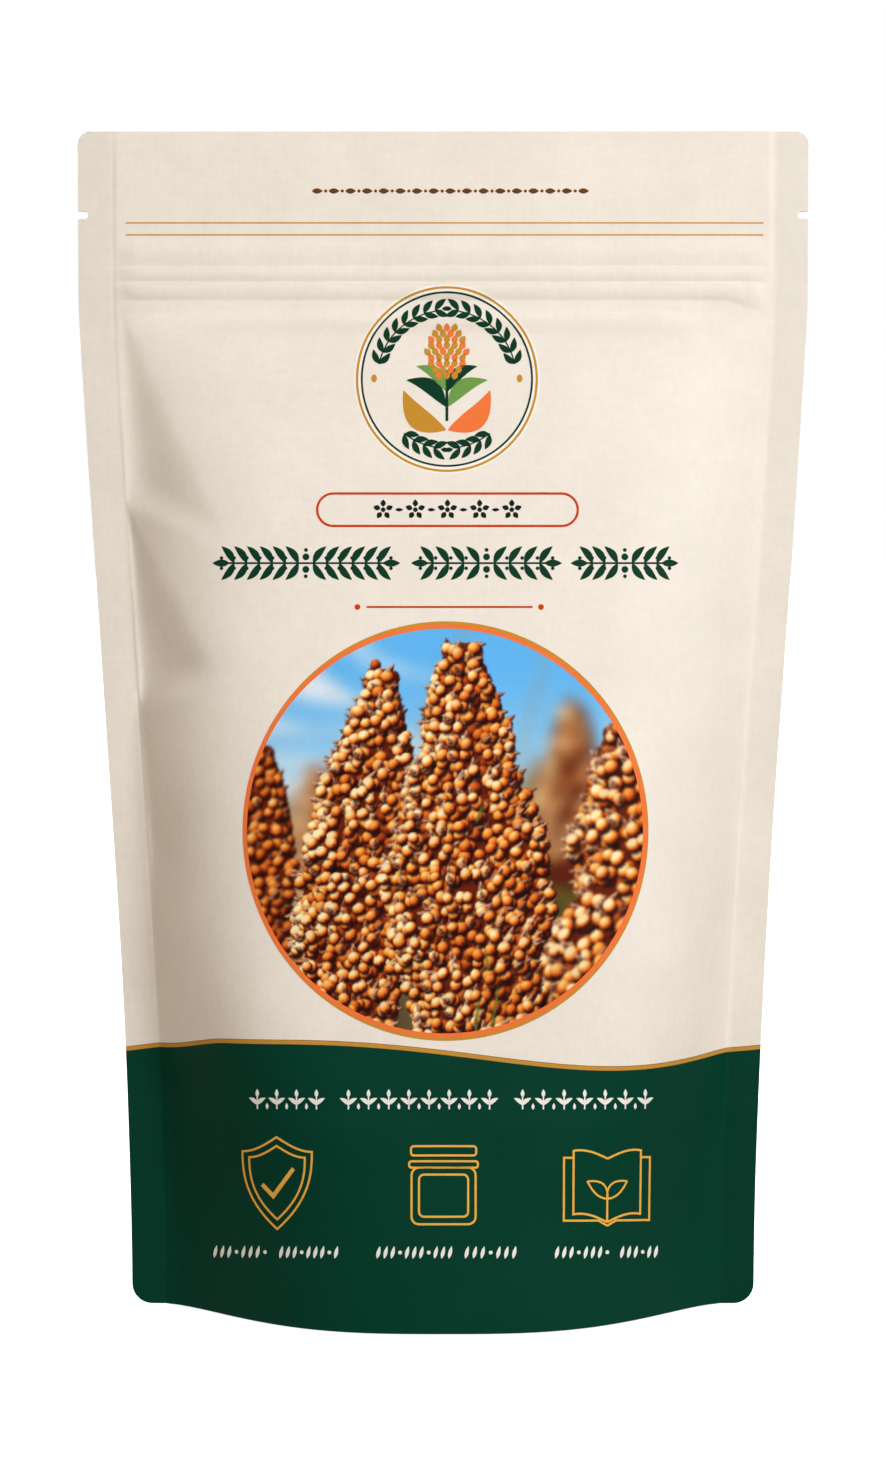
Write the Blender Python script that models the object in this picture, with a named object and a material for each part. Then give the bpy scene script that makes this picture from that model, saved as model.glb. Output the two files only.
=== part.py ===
"""A filled stand-up seed pouch: three film webs, a press-to-close zip and the seeds inside.

The pouch stands on the ground plane with its middle at the origin. +X is its right as seen from
the front, +Y runs from the front to the back, and +Z is up. The side seals lie in the plane Y = 0.
Sizes in this file are millimetres until the last step, which makes them metres.
"""

import math

import bmesh
import bpy
import numpy as np

MM = 0.001

# The flat pouch.
FLAT_WIDTH = 130.0
HEIGHT = 210.0
SEAL_WIDTH = 6.0
FILM = 0.15
TOP_CORNER_RADIUS = 2.4
FOOT_CORNER_RADIUS = 3.6

# The filled pouch: its sides draw in towards the foot as the front and back swell.
FOOT_WIDTH = 112.0
EARLY_DRAW = 0.28
FOOT_HALF_DEPTH = 27.7
SWELL_TOP_Z = 178.6
SWELL_POWER = 0.65
SWELL_EASE = 0.03

# Across, the swell is (1 - u^first) ^ second: pinched at the foot and fuller above it.
FOOT_POWERS = (3.0, 1.6)
BODY_POWERS = (5.5, 1.25)
POWERS_FROM_Z = 10.0
POWERS_HEIGHT = 60.0

# The tear notches, one in each side edge.
NOTCH_Z = 195.2
NOTCH_HEIGHT = 1.4
NOTCH_DEPTH = 1.9

# The press-to-close zip: two tracks on two flanges, crushed flat in the side seals.
FLANGE_LOW_Z = 177.6
FLANGE_HIGH_Z = 188.6
FLANGE = 0.2
TRACKS = ((184.5, 1.6), (180.7, 2.0))
TRACK_SWELL = 0.75
FLANGE_EASE = 0.8
FLANGE_INNER = 0.10
FILM_CRUSH = 0.08
STRIP_CRUSH = 0.3
CRUSH_FROM_X = 56.0
CRUSH_TO_X = 58.8
ZIP_END_X = 64.6

# Half sections of the tracks, as heights from a track's middle and depths from Y = 0.
RIB_NECK = 0.18
RIB_HEAD = 0.38
RIB_BARB_DEPTH = -0.03
RIB_TIP_DEPTH = -0.45
GROOVE_MOUTH = 0.29
GROOVE_WALL = 0.52
GROOVE_OUTSIDE = 0.78
GROOVE_FLOOR = 0.1
JAW_ROOT_DEPTH = 0.45
JAW_TIP_DEPTH = -0.35
JAW_HOOK_DEPTH = -0.15
TRACK_MARGIN = 0.04

# The clear gaps between the layers.
FILM_GAP = 0.10
FLANGE_TO_FILM = 0.10
GUSSET_LAYERS_GAP = 0.17

# The bottom gusset, folded in its middle.
GUSSET_LEG = 34.0
SKIRT_SEAL = 5.0
SKIRT_POWER = 3
FOLD_POWER = 2.2
FLOOR_BEND_POWER = 1.7
GUSSET_FILM = 0.12
GUSSET_EDGE_INSET = 0.4
GUSSET_CLEARANCE = 0.35
GUSSET_CLEARANCE_U = 0.12
GUSSET_EASE = 2.0
FLOOR_FLAT_SHARE = 0.45
FLOOR_FLAT_U = 0.5
FOLD_HALF_GAP = 0.14
GUSSET_FOOT_Z = 0.5

# The seeds.
SEED_TOP_Z = 112.0
SEED_CROWN = 5.0
SEED_CLEARANCE = 0.8
SEED_END_U = 0.88
SEED_SHOULDER = 1.5
SEED_LEAST_DEPTH = 0.3
SEED_DOME = 1.2

# How finely the films are divided.
BODY_COLUMNS = 11
COLUMN_CROWDING = 1.6
SEAL_COLUMNS = 2
BODY_ROWS = 17
ROW_CROWDING = 1.3
ZIP_ROWS = 22
BACK_POINTS = 30


def smoothstep(value):
    """0 below 0, 1 above 1 and an even S between them."""
    t = np.clip(value, 0.0, 1.0)
    return t * t * (3 - 2 * t)


def filled_share(z):
    """0 where the swell starts under the zip, 1 at the foot."""
    return np.clip((SWELL_TOP_Z - z) / SWELL_TOP_Z, 0.0, 1.0)


def half_width(z):
    """Half of the pouch's width between its side edges, before the corners are rounded."""
    t = filled_share(z)
    drawn_in = 0.5 * (np.sin(t * math.pi / 2) + smoothstep(t)) + EARLY_DRAW * t * (1 - t) ** 3
    return (FLAT_WIDTH - (FLAT_WIDTH - FOOT_WIDTH) * drawn_in) / 2


def rounded_half_width(z):
    """half_width with the four corners rounded."""
    above = np.clip(z - (HEIGHT - TOP_CORNER_RADIUS), 0, TOP_CORNER_RADIUS)
    below = np.clip(FOOT_CORNER_RADIUS - z, 0, FOOT_CORNER_RADIUS)
    top_cut = TOP_CORNER_RADIUS - np.sqrt(TOP_CORNER_RADIUS**2 - above**2)
    foot_cut = FOOT_CORNER_RADIUS - np.sqrt(FOOT_CORNER_RADIUS**2 - below**2)
    return half_width(z) - top_cut - foot_cut


def across(column, z, inset=0.0):
    """X at a column: -1 to 1 runs between the side seals' inner edges, and 1 to 2 across a seal."""
    inner = half_width(z) - SEAL_WIDTH
    outer = rounded_half_width(z) - inset
    size = np.abs(column)
    x = np.where(size <= 1, size * inner, inner + (outer - inner) * (size - 1))
    return np.sign(column) * x


def swell(column, z):
    """How far a panel stands out from its flat state: fullest in the middle, nothing at the seals."""
    t = filled_share(z)
    depth = FOOT_HALF_DEPTH * np.sin(t * math.pi / 2) ** SWELL_POWER * smoothstep(t / SWELL_EASE)
    u = np.minimum(np.abs(column), 1.0)
    above_foot = smoothstep((z - POWERS_FROM_Z) / POWERS_HEIGHT)
    first = FOOT_POWERS[0] + (BODY_POWERS[0] - FOOT_POWERS[0]) * above_foot
    second = FOOT_POWERS[1] + (BODY_POWERS[1] - FOOT_POWERS[1]) * above_foot
    return depth * (1 - u**first) ** second


def crushed_to(share, x):
    """1 along the zip and share in the side seals, where its tracks are pressed flat."""
    return 1 - (1 - share) * smoothstep((np.abs(x) - CRUSH_FROM_X) / (CRUSH_TO_X - CRUSH_FROM_X))


def track_ridges(z):
    """1 on the crest of each zip track, 0 at its foot."""
    height = np.zeros_like(z)
    for middle, reach in TRACKS:
        share = np.clip(np.abs(z - middle) / reach, 0, 1)
        height = np.maximum(height, np.cos(share * math.pi / 2) ** 2)
    return height


def film_gap(x, z):
    """From the plane Y = 0 to a film's inner face, apart from the swell."""
    above_low = smoothstep((z - FLANGE_LOW_Z + FLANGE_EASE) / FLANGE_EASE)
    below_high = smoothstep((FLANGE_HIGH_Z + FLANGE_EASE - z) / FLANGE_EASE)
    in_flange = above_low * below_high
    over_gusset = smoothstep((GUSSET_LEG + 2 * GUSSET_EASE - z) / GUSSET_EASE)
    behind_film = FLANGE_INNER + FLANGE + FLANGE_TO_FILM - FILM_GAP
    ridges = TRACK_SWELL * track_ridges(z) * crushed_to(FILM_CRUSH, x)
    return FILM_GAP + behind_film * in_flange + ridges + GUSSET_LAYERS_GAP * over_gusset


def columns():
    """Column values from the left edge to the right, closer together towards the seals."""
    steps = np.arange(BODY_COLUMNS + 1) / BODY_COLUMNS
    body = 1 - (1 - steps) ** COLUMN_CROWDING
    seal = 1 + np.arange(1, SEAL_COLUMNS + 1) / SEAL_COLUMNS
    right = np.concatenate([body, seal])
    return np.concatenate([-right[:0:-1], right])


def panel_rows():
    """Heights of a panel's rows: close together at the corners and over the zip's tracks."""
    quarter = np.linspace(0, math.pi / 2, 5)
    foot = FOOT_CORNER_RADIUS * (1 - np.cos(quarter))
    top = HEIGHT - TOP_CORNER_RADIUS * (1 - np.sin(quarter))
    lowest, highest = FOOT_CORNER_RADIUS + 5, FLANGE_LOW_Z - 2
    climb = 1 - (1 - np.linspace(0, 1, BODY_ROWS)) ** ROW_CROWDING
    body = lowest + (highest - lowest) * climb
    tracks = np.linspace(FLANGE_LOW_Z - FLANGE_EASE / 2, FLANGE_HIGH_Z - 1.2, ZIP_ROWS)
    above_zip = [FLANGE_HIGH_Z, FLANGE_HIGH_Z + FLANGE_EASE, NOTCH_Z + 1, (NOTCH_Z + HEIGHT) / 2]
    return np.concatenate([foot, body, tracks, above_zip, top])


def new_object(name, mesh, material):
    """A mesh object in the scene, with its material."""
    thing = bpy.data.objects.new(name, mesh)
    bpy.context.scene.collection.objects.link(thing)
    mesh.materials.append(material)
    return thing


def grid_mesh(name, x, y, z, flipped):
    """A mesh of quads over a grid of points given as three arrays in millimetres."""
    rows, cols = x.shape
    corners = np.stack([x, y, z], axis=-1).reshape(-1, 3) * MM
    index = np.arange(rows * cols).reshape(rows, cols)
    quads = np.stack([index[:-1, :-1], index[:-1, 1:], index[1:, 1:], index[1:, :-1]], axis=-1)
    quads = quads.reshape(-1, 4)
    if flipped:
        quads = quads[:, ::-1]
    mesh = bpy.data.meshes.new(name)
    mesh.from_pydata(corners.tolist(), [], quads.tolist())
    mesh.shade_smooth()
    return mesh


def thicken(thing, thickness):
    """Gives a film its thickness on the outer side of its faces."""
    solidify = thing.modifiers.new("film_thickness", "SOLIDIFY")
    solidify.thickness = thickness * MM
    solidify.offset = 1.0
    solidify.use_even_offset = True


def notch_cutter(side):
    """A round-ended bar that cuts a tear notch through both panels at one side edge."""
    edge = float(half_width(np.array(NOTCH_Z)))
    tip = edge - NOTCH_DEPTH + NOTCH_HEIGHT / 2
    reach = edge + 3
    mesh = bpy.data.meshes.new("notch_cutter")
    builder = bmesh.new()
    angles = np.linspace(math.pi / 2, 3 * math.pi / 2, 9)
    outline = [(reach, -NOTCH_HEIGHT / 2), (reach, NOTCH_HEIGHT / 2)]
    outline += [
        (tip + NOTCH_HEIGHT / 2 * math.cos(a), NOTCH_HEIGHT / 2 * math.sin(a)) for a in angles
    ]
    base = [builder.verts.new((side * x * MM, -3 * MM, (NOTCH_Z + z) * MM)) for x, z in outline]
    face = builder.faces.new(base)
    swept = bmesh.ops.extrude_face_region(builder, geom=[face])
    moved = [part for part in swept["geom"] if isinstance(part, bmesh.types.BMVert)]
    bmesh.ops.translate(builder, verts=moved, vec=(0, 6 * MM, 0))
    bmesh.ops.recalc_face_normals(builder, faces=builder.faces)
    builder.to_mesh(mesh)
    builder.free()
    cutter = bpy.data.objects.new(f"notch_cutter_{'right' if side > 0 else 'left'}", mesh)
    bpy.context.scene.collection.objects.link(cutter)
    cutter.hide_render = True
    cutter.display_type = "WIRE"
    return cutter


def film_panel(name, facing, cutters, material):
    """The front (facing -1) or back (facing 1) web of film, with its tear notches."""
    column, z = np.meshgrid(columns(), panel_rows())
    x = across(column, z)
    y = facing * (film_gap(x, z) + swell(column, z))
    panel = new_object(name, grid_mesh(name, x, y, z, flipped=facing > 0), material)
    thicken(panel, FILM)
    for cutter in cutters:
        cut = panel.modifiers.new(cutter.name, "BOOLEAN")
        cut.operation = "DIFFERENCE"
        cut.solver = "EXACT"
        cut.object = cutter
    return panel


def skirt_height(column):
    """Where the gusset leaves the panel: low in the middle and up to its fold at the side seals."""
    u = np.minimum(np.abs(column), 1.0)
    return SKIRT_SEAL + (GUSSET_LEG - SKIRT_SEAL) * u**SKIRT_POWER


def fold_height(column):
    """The gusset's middle fold: down on the ground in the middle, at its full height in the seals."""
    u = np.clip((np.abs(column) - FLOOR_FLAT_U) / (1 - FLOOR_FLAT_U), 0.0, 1.0)
    return GUSSET_LEG * u**FOLD_POWER


def gusset_reach(column, z):
    """From Y = 0 to the middle of the gusset's film where it lies against a panel."""
    inside = GUSSET_CLEARANCE * smoothstep((1 - np.abs(column)) / GUSSET_CLEARANCE_U)
    return FOLD_HALF_GAP + np.maximum(swell(column, z) - inside, 0)


def bottom_gusset(material):
    """The folded web that makes the foot, sealed round its edge inside both panels."""
    skirt_steps = np.array([0.0, 0.07, 0.16, 0.3, 0.45, 0.6, 0.75, 0.9, 1.0])
    floor_steps = np.array([0.0, 0.18, 0.34, 0.46, 0.55, 0.7, 0.85, 1.0])
    column = columns()[None, :]

    skirt_top = skirt_height(column)
    skirt_z = GUSSET_FOOT_Z + (skirt_top - GUSSET_FOOT_Z) * skirt_steps[:, None]
    skirt_column = np.broadcast_to(column, skirt_z.shape)
    skirt_x = across(skirt_column, skirt_z, inset=GUSSET_EDGE_INSET)
    skirt_y = gusset_reach(skirt_column, skirt_z)

    share = 1 - floor_steps[1:, None]
    bend = np.clip((share - FLOOR_FLAT_SHARE) / (1 - FLOOR_FLAT_SHARE), 0, 1)
    floor_z = fold_height(column) + (skirt_top - fold_height(column)) * bend**FLOOR_BEND_POWER
    floor_column = np.broadcast_to(column, floor_z.shape)
    level = np.broadcast_to(skirt_top, floor_z.shape)
    floor_x = across(floor_column, level, inset=GUSSET_EDGE_INSET)
    floor_y = gusset_reach(floor_column, level) * share
    fold_rise = FOLD_HALF_GAP * np.sqrt(1 - share**2) * np.abs(floor_column)
    floor_z = np.maximum(floor_z + fold_rise, GUSSET_FILM / 2)

    half_x = np.concatenate([skirt_x, floor_x])
    half_y = np.concatenate([skirt_y, floor_y])
    half_z = np.concatenate([skirt_z, floor_z])
    x = np.concatenate([half_x, half_x[-2::-1]])
    y = np.concatenate([-half_y, half_y[-2::-1]])
    z = np.concatenate([half_z, half_z[-2::-1]])
    gusset = new_object("bottom_gusset", grid_mesh("bottom_gusset", x, y, z, True), material)
    solidify = gusset.modifiers.new("film_thickness", "SOLIDIFY")
    solidify.thickness = GUSSET_FILM * MM
    solidify.offset = 0.0
    solidify.use_even_offset = False
    return gusset


def flange_line(z_values, offset):
    """Points down a zip flange's face, offset from the flange's inner face, as (depth, z)."""
    depth = FLANGE_INNER + offset + TRACK_SWELL * track_ridges(z_values)
    return list(zip(depth.tolist(), z_values.tolist()))


def rib_profile(middle):
    """An arrow-headed rib that stands on a flange, as (depth, z) from its upper root to its lower."""
    upper = [
        (FLANGE_INNER + TRACK_SWELL, RIB_NECK),
        (RIB_BARB_DEPTH, RIB_NECK),
        (0.0, RIB_HEAD),
        ((RIB_BARB_DEPTH + RIB_TIP_DEPTH) / 2, RIB_HEAD * 0.8),
        (RIB_TIP_DEPTH, RIB_HEAD / 4),
    ]
    return [(d, middle + h) for d, h in upper] + [(d, middle - h) for d, h in reversed(upper)]


def groove_profile(middle):
    """Two hooked jaws that close round a rib, as (depth, z) from the upper root to the lower."""
    chamfer = 0.1
    upper = [
        (JAW_ROOT_DEPTH, GROOVE_OUTSIDE),
        (JAW_TIP_DEPTH + chamfer, GROOVE_OUTSIDE),
        (JAW_TIP_DEPTH, GROOVE_OUTSIDE - chamfer),
        (JAW_TIP_DEPTH, GROOVE_MOUTH),
        (JAW_HOOK_DEPTH, GROOVE_MOUTH),
        (JAW_HOOK_DEPTH, GROOVE_WALL),
        (FLANGE_INNER + TRACK_SWELL - GROOVE_FLOOR, GROOVE_WALL),
    ]
    return [(d, middle + h) for d, h in upper] + [(d, middle - h) for d, h in reversed(upper)]


def strip_outline(track_profile):
    """One zip strip's cross-section: the flange's wavy back, then its front with both tracks."""
    back_z = np.linspace(FLANGE_LOW_Z, FLANGE_HIGH_Z, BACK_POINTS)
    outline = flange_line(back_z, FLANGE)
    front = [track_profile(middle) for middle, _ in TRACKS]
    half_track = GROOVE_OUTSIDE if track_profile is groove_profile else RIB_NECK
    clear = half_track + TRACK_MARGIN
    upper_track, lower_track = TRACKS[0][0], TRACKS[1][0]
    stretches = [
        (FLANGE_HIGH_Z, upper_track + clear, 9),
        (upper_track - clear, lower_track + clear, 7),
        (lower_track - clear, FLANGE_LOW_Z, 7),
    ]
    for number, (start, end, count) in enumerate(stretches):
        outline += flange_line(np.linspace(start, end, count), 0.0)
        if number < len(front):
            outline += front[number]
    return np.array(outline)


def zip_stations():
    """X of the strips' cross-sections: the panels' own columns near the seals, to keep the layers apart."""
    shares = columns()
    x = across(shares, np.full(len(shares), FLANGE_HIGH_Z))
    near_seals = x[np.abs(x) > CRUSH_FROM_X - 2]
    return np.clip(near_seals, -ZIP_END_X, ZIP_END_X)


def zip_strip(name, facing, track_profile, material):
    """One half of the zip, swept along X and crushed thin at both ends."""
    outline = strip_outline(track_profile)
    builder = bmesh.new()
    loops = []
    for x in zip_stations():
        depth = outline[:, 0] * float(crushed_to(STRIP_CRUSH, x))
        ring = [(x * MM, facing * d * MM, z * MM) for d, z in zip(depth, outline[:, 1])]
        loops.append([builder.verts.new(point) for point in ring])
    for first, second in zip(loops, loops[1:]):
        for i in range(len(first)):
            j = (i + 1) % len(first)
            builder.faces.new((first[i], first[j], second[j], second[i]))
    builder.faces.new(loops[0])
    builder.faces.new(loops[-1])
    bmesh.ops.recalc_face_normals(builder, faces=builder.faces)
    mesh = bpy.data.meshes.new(name)
    builder.to_mesh(mesh)
    builder.free()
    return new_object(name, mesh, material)


def seed_station(u):
    """One closed loop of points round the seeds at a share u of the inner width, as (x, y, z)."""
    low = float(fold_height(np.array(u))) + SEED_CLEARANCE
    shoulder = float(skirt_height(np.array(u))) + SEED_CLEARANCE
    top = SEED_TOP_Z + SEED_CROWN * (1 - (u / SEED_END_U) ** 2)
    floor_share = np.array([0.0, 0.22, 0.42, 0.6, 0.78])
    bend = np.clip((floor_share - FLOOR_FLAT_SHARE) / (1 - FLOOR_FLAT_SHARE), 0, 1)
    bend = bend**FLOOR_BEND_POWER
    wall_z = np.linspace(shoulder + SEED_SHOULDER, top - 2, 9)

    def depth_at(z):
        reach = float(swell(np.array(u), np.array(z))) - GUSSET_CLEARANCE - SEED_CLEARANCE
        return max(reach, SEED_LEAST_DEPTH)

    half = [(share * depth_at(shoulder), low + (shoulder - low) * b) for share, b in zip(floor_share, bend)]
    half += [(depth_at(z), z) for z in wall_z]
    half += [(depth_at(top) * share, top + SEED_DOME * (1 - share)) for share in (0.9, 0.5, 0.0)]
    xs = [float(across(np.array(u), np.array(z))) for _, z in half]
    right = [(x, depth, z) for x, (depth, z) in zip(xs, half)]
    left = [(x, -depth, z) for x, depth, z in right[-2:0:-1]]
    return right + left


def seed_fill(material):
    """The loose seeds as one closed body that fills the foot of the pouch."""
    shares = [u for u in columns() if abs(u) <= SEED_END_U]
    builder = bmesh.new()
    loops = [[builder.verts.new(np.array(p) * MM) for p in seed_station(u)] for u in shares]
    for first, second in zip(loops, loops[1:]):
        for i in range(len(first)):
            j = (i + 1) % len(first)
            builder.faces.new((first[i], first[j], second[j], second[i]))
    for end in (loops[0], loops[-1]):
        count = len(end)
        for i in range(count // 2 - 1):
            builder.faces.new((end[i], end[i + 1], end[count - i - 2], end[count - i - 1]))
    bmesh.ops.recalc_face_normals(builder, faces=builder.faces)
    mesh = bpy.data.meshes.new("seed_fill")
    builder.to_mesh(mesh)
    builder.free()
    mesh.shade_smooth()
    return new_object("seed_fill", mesh, material)


def finish(name, colour, roughness):
    """A plain Principled material."""
    material = bpy.data.materials.new(name)
    material.use_nodes = True
    shader = material.node_tree.nodes["Principled BSDF"]
    shader.inputs["Base Color"].default_value = (*colour, 1.0)
    shader.inputs["Roughness"].default_value = roughness
    shader.inputs["Metallic"].default_value = 0.0
    return material


def main():
    for thing in list(bpy.data.objects):
        bpy.data.objects.remove(thing)
    cream = finish("matte_cream_film", (0.86, 0.78, 0.68), 0.6)
    green = finish("matte_green_film", (0.008, 0.045, 0.027), 0.55)
    clear = finish("milky_zip_plastic", (0.8, 0.8, 0.78), 0.35)
    grain = finish("sorghum_seed", (0.6, 0.27, 0.08), 0.5)
    cutters = [notch_cutter(-1), notch_cutter(1)]
    film_panel("front_panel", -1, cutters, cream)
    film_panel("back_panel", 1, cutters, cream)
    bottom_gusset(green)
    zip_strip("zip_rib_strip", -1, rib_profile, clear)
    zip_strip("zip_groove_strip", 1, groove_profile, clear)
    seed_fill(grain)


main()
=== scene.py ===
"""Looks of a filled stand-up seed pouch: its printed film, its foot, its zip, its seeds and a plain studio.

Lengths are millimetres until a mesh is made, which is in metres. +X is the pouch's right as seen from
the front, +Y runs from the front to the back and +Z is up. The side seals lie near the plane Y = 0, and
the pouch stands on Z = 0.
"""

from __future__ import annotations

import logging
import math
from dataclasses import dataclass, field
from enum import Enum

import bpy
import numpy as np
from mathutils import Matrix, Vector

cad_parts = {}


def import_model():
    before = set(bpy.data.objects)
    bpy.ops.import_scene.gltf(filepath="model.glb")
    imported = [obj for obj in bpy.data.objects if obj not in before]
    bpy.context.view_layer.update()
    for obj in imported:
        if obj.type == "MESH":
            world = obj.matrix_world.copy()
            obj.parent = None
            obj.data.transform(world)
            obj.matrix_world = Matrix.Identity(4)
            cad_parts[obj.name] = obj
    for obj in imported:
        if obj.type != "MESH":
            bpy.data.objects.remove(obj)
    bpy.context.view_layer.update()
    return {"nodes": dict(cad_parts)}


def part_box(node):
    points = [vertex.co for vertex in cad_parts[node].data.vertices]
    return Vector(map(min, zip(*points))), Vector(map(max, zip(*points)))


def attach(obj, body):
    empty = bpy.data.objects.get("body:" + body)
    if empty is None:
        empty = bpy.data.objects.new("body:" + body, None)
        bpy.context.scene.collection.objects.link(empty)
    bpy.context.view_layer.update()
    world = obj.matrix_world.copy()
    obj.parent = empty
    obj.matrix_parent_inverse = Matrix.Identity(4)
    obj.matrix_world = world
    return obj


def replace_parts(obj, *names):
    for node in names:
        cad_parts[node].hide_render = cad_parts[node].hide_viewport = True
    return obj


LOG = logging.getLogger("seed_pouch")
MM = 0.001
SHARP_EDGE = math.radians(35)
BODY = "root"
BAND_ATTRIBUTE = "above_band"
PICTURE_ATTRIBUTE = "picture_ink"
SEAL_ATTRIBUTE = "in_seal"
# the export keeps a map of this name as the one it bakes through
BAKE_MAP = "OFBake"  # the name of the flat UV map laid over X and Z

Array = np.ndarray
Place = tuple[float, float]  # X and Z in millimetres
Colour = tuple[float, float, float]  # red, green and blue in sRGB, from 0 to 1


class Side(Enum):
    """Which way a film web faces: its value is the sign of Y on its outer side."""

    FRONT = -1
    BACK = 1


class Ink(Enum):
    """The printing inks and their sRGB colours."""

    GOLD = "c99030"
    PALE_GOLD = "f2b549"
    ORANGE = "f37a3c"
    RUST = "c84200"
    BROWN = "6b3f16"
    DEEP_GREEN = "0b3a26"
    LEAF_GREEN = "6f9d4a"
    BLACK_GREEN = "16221c"
    WHITE = "f1efe8"
    GROUND = "fbf7ee"


def linear(colour: str) -> tuple[float, ...]:
    """Turns an sRGB hex colour to the linear colour that the shaders take.

    Each channel c becomes c / 12.92 below 0.04045, and ((c + 0.055) / 1.055) to the power 2.4 above.

    Args:
        colour: six hex digits.

    Returns:
        Linear red, green and blue, and an alpha of 1.
    """
    channels = [int(colour[i : i + 2], 16) / 255 for i in (0, 2, 4)]
    bent = [c / 12.92 if c <= 0.04045 else ((c + 0.055) / 1.055) ** 2.4 for c in channels]
    return (*bent, 1.0)


def smoothstep(value: Array) -> Array:
    """Gives 0 below 0, 1 above 1, and 3 t^2 - 2 t^3 between them."""
    t = np.clip(value, 0.0, 1.0)
    return t * t * (3 - 2 * t)


def node(tree: bpy.types.NodeTree, kind: str, settings: dict, inputs: dict) -> bpy.types.Node:
    """Adds a node to a tree, sets its properties and fills or links its inputs.

    Args:
        tree: the material's or world's node tree.
        kind: the node's type, such as TexNoise for a noise texture.
        settings: property names and their values.
        inputs: input names or numbers, each with a value or with the socket that feeds it.

    Returns:
        The new node.
    """
    made = tree.nodes.new("ShaderNode" + kind)
    for name, value in settings.items():
        setattr(made, name, value)
    for key, value in inputs.items():
        if isinstance(value, bpy.types.NodeSocket):
            tree.links.new(value, made.inputs[key])
        else:
            made.inputs[key].default_value = value
    return made


# ---- The pouch's form


@dataclass(frozen=True)
class RandomWaves:
    """Gentle unevenness of a film: a sum of plane waves of random direction, length and phase."""

    seed: int
    shortest: float
    longest: float
    height: float
    count: int = 22

    def at(self, x: Array, z: Array) -> Array:
        """Adds up height / sqrt(count) * cos(2 pi (x cos a + z sin a) / length + phase) over the waves.

        Args:
            x: places across the film.
            z: places up the film.

        Returns:
            The unevenness in millimetres, of about the given height.
        """
        chance = np.random.default_rng(self.seed)
        length = chance.uniform(self.shortest, self.longest, self.count)
        turn = chance.uniform(0, 2 * math.pi, self.count)
        phase = chance.uniform(0, 2 * math.pi, self.count)
        total = np.zeros(np.broadcast(x, z).shape)
        for a, l, p in zip(turn, length, phase):
            total += np.cos(2 * math.pi * (x * math.cos(a) + z * math.sin(a)) / l + p)
        return total * self.height / math.sqrt(self.count)


@dataclass(frozen=True)
class Tuck:
    """A three-cornered hollow that a film folds itself into beside a seal.

    Two corners lie on the seal, the apex above the foot, and the tip lies out in the film. The film
    climbs out of the hollow over a broad slope along the side from the apex to the tip, and over a
    short one along the side from the tip to the foot.
    """

    apex: Place
    tip: Place
    foot: Place
    depth: float
    slope: float = 8.0
    foot_slope: float = 5.0
    round_power: float = 0.9
    sine_share: float = 0.78
    narrowest: float = 0.3

    @staticmethod
    def beside(start: Place, end: Place, x: Array, z: Array) -> tuple[Array, Array]:
        """Measures places against one side of the hollow.

        Args:
            start: the corner where the side starts.
            end: the corner where it ends.
            x: places across the film.
            z: places up the film.

        Returns:
            Each place's share of the way along the side, and its distance from the side.
        """
        dx, dz = end[0] - start[0], end[1] - start[1]
        length = math.hypot(dx, dz)
        along = ((x - start[0]) * dx + (z - start[1]) * dz) / length**2
        return along, ((x - start[0]) * dz - (z - start[1]) * dx) / length

    def depth_at(self, x: Array, z: Array) -> Array:
        """Works out how deep the hollow is: its depth times the smoothsteps of both sides' distances.

        The broad slope's width goes along its side as a sine, so it is widest a little past its
        middle and narrow at the apex.

        Args:
            x: places across the film.
            z: places up the film.

        Returns:
            The depth in millimetres at each place.
        """
        way = 1.0 if self.apex[0] < self.tip[0] else -1.0
        along, from_ridge = self.beside(self.apex, self.tip, x, z)
        width = self.slope * np.sin(math.pi * self.sine_share * np.clip(along, 0.04, 1.0)) ** self.round_power
        _, from_foot = self.beside(self.tip, self.foot, x, z)
        inside = smoothstep(way * from_ridge / np.maximum(width, self.narrowest))
        return self.depth * inside * smoothstep(way * from_foot / self.foot_slope)


@dataclass(frozen=True)
class Bead:
    """A rounded ridge across a film, by its lower edge, its crest, its upper edge and its height."""

    low: float
    crest: float
    high: float
    height: float

    def at(self, z: Array, lowered: Array | float = 0.0) -> Array:
        """Works out height * (1 - t^2), with t the distance from the crest over the reach on that side."""
        reach = np.where(z > self.crest, self.high - self.crest, self.crest - self.low + lowered)
        return self.height * np.clip(1 - ((z - self.crest) / reach) ** 2, 0, 1)


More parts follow.
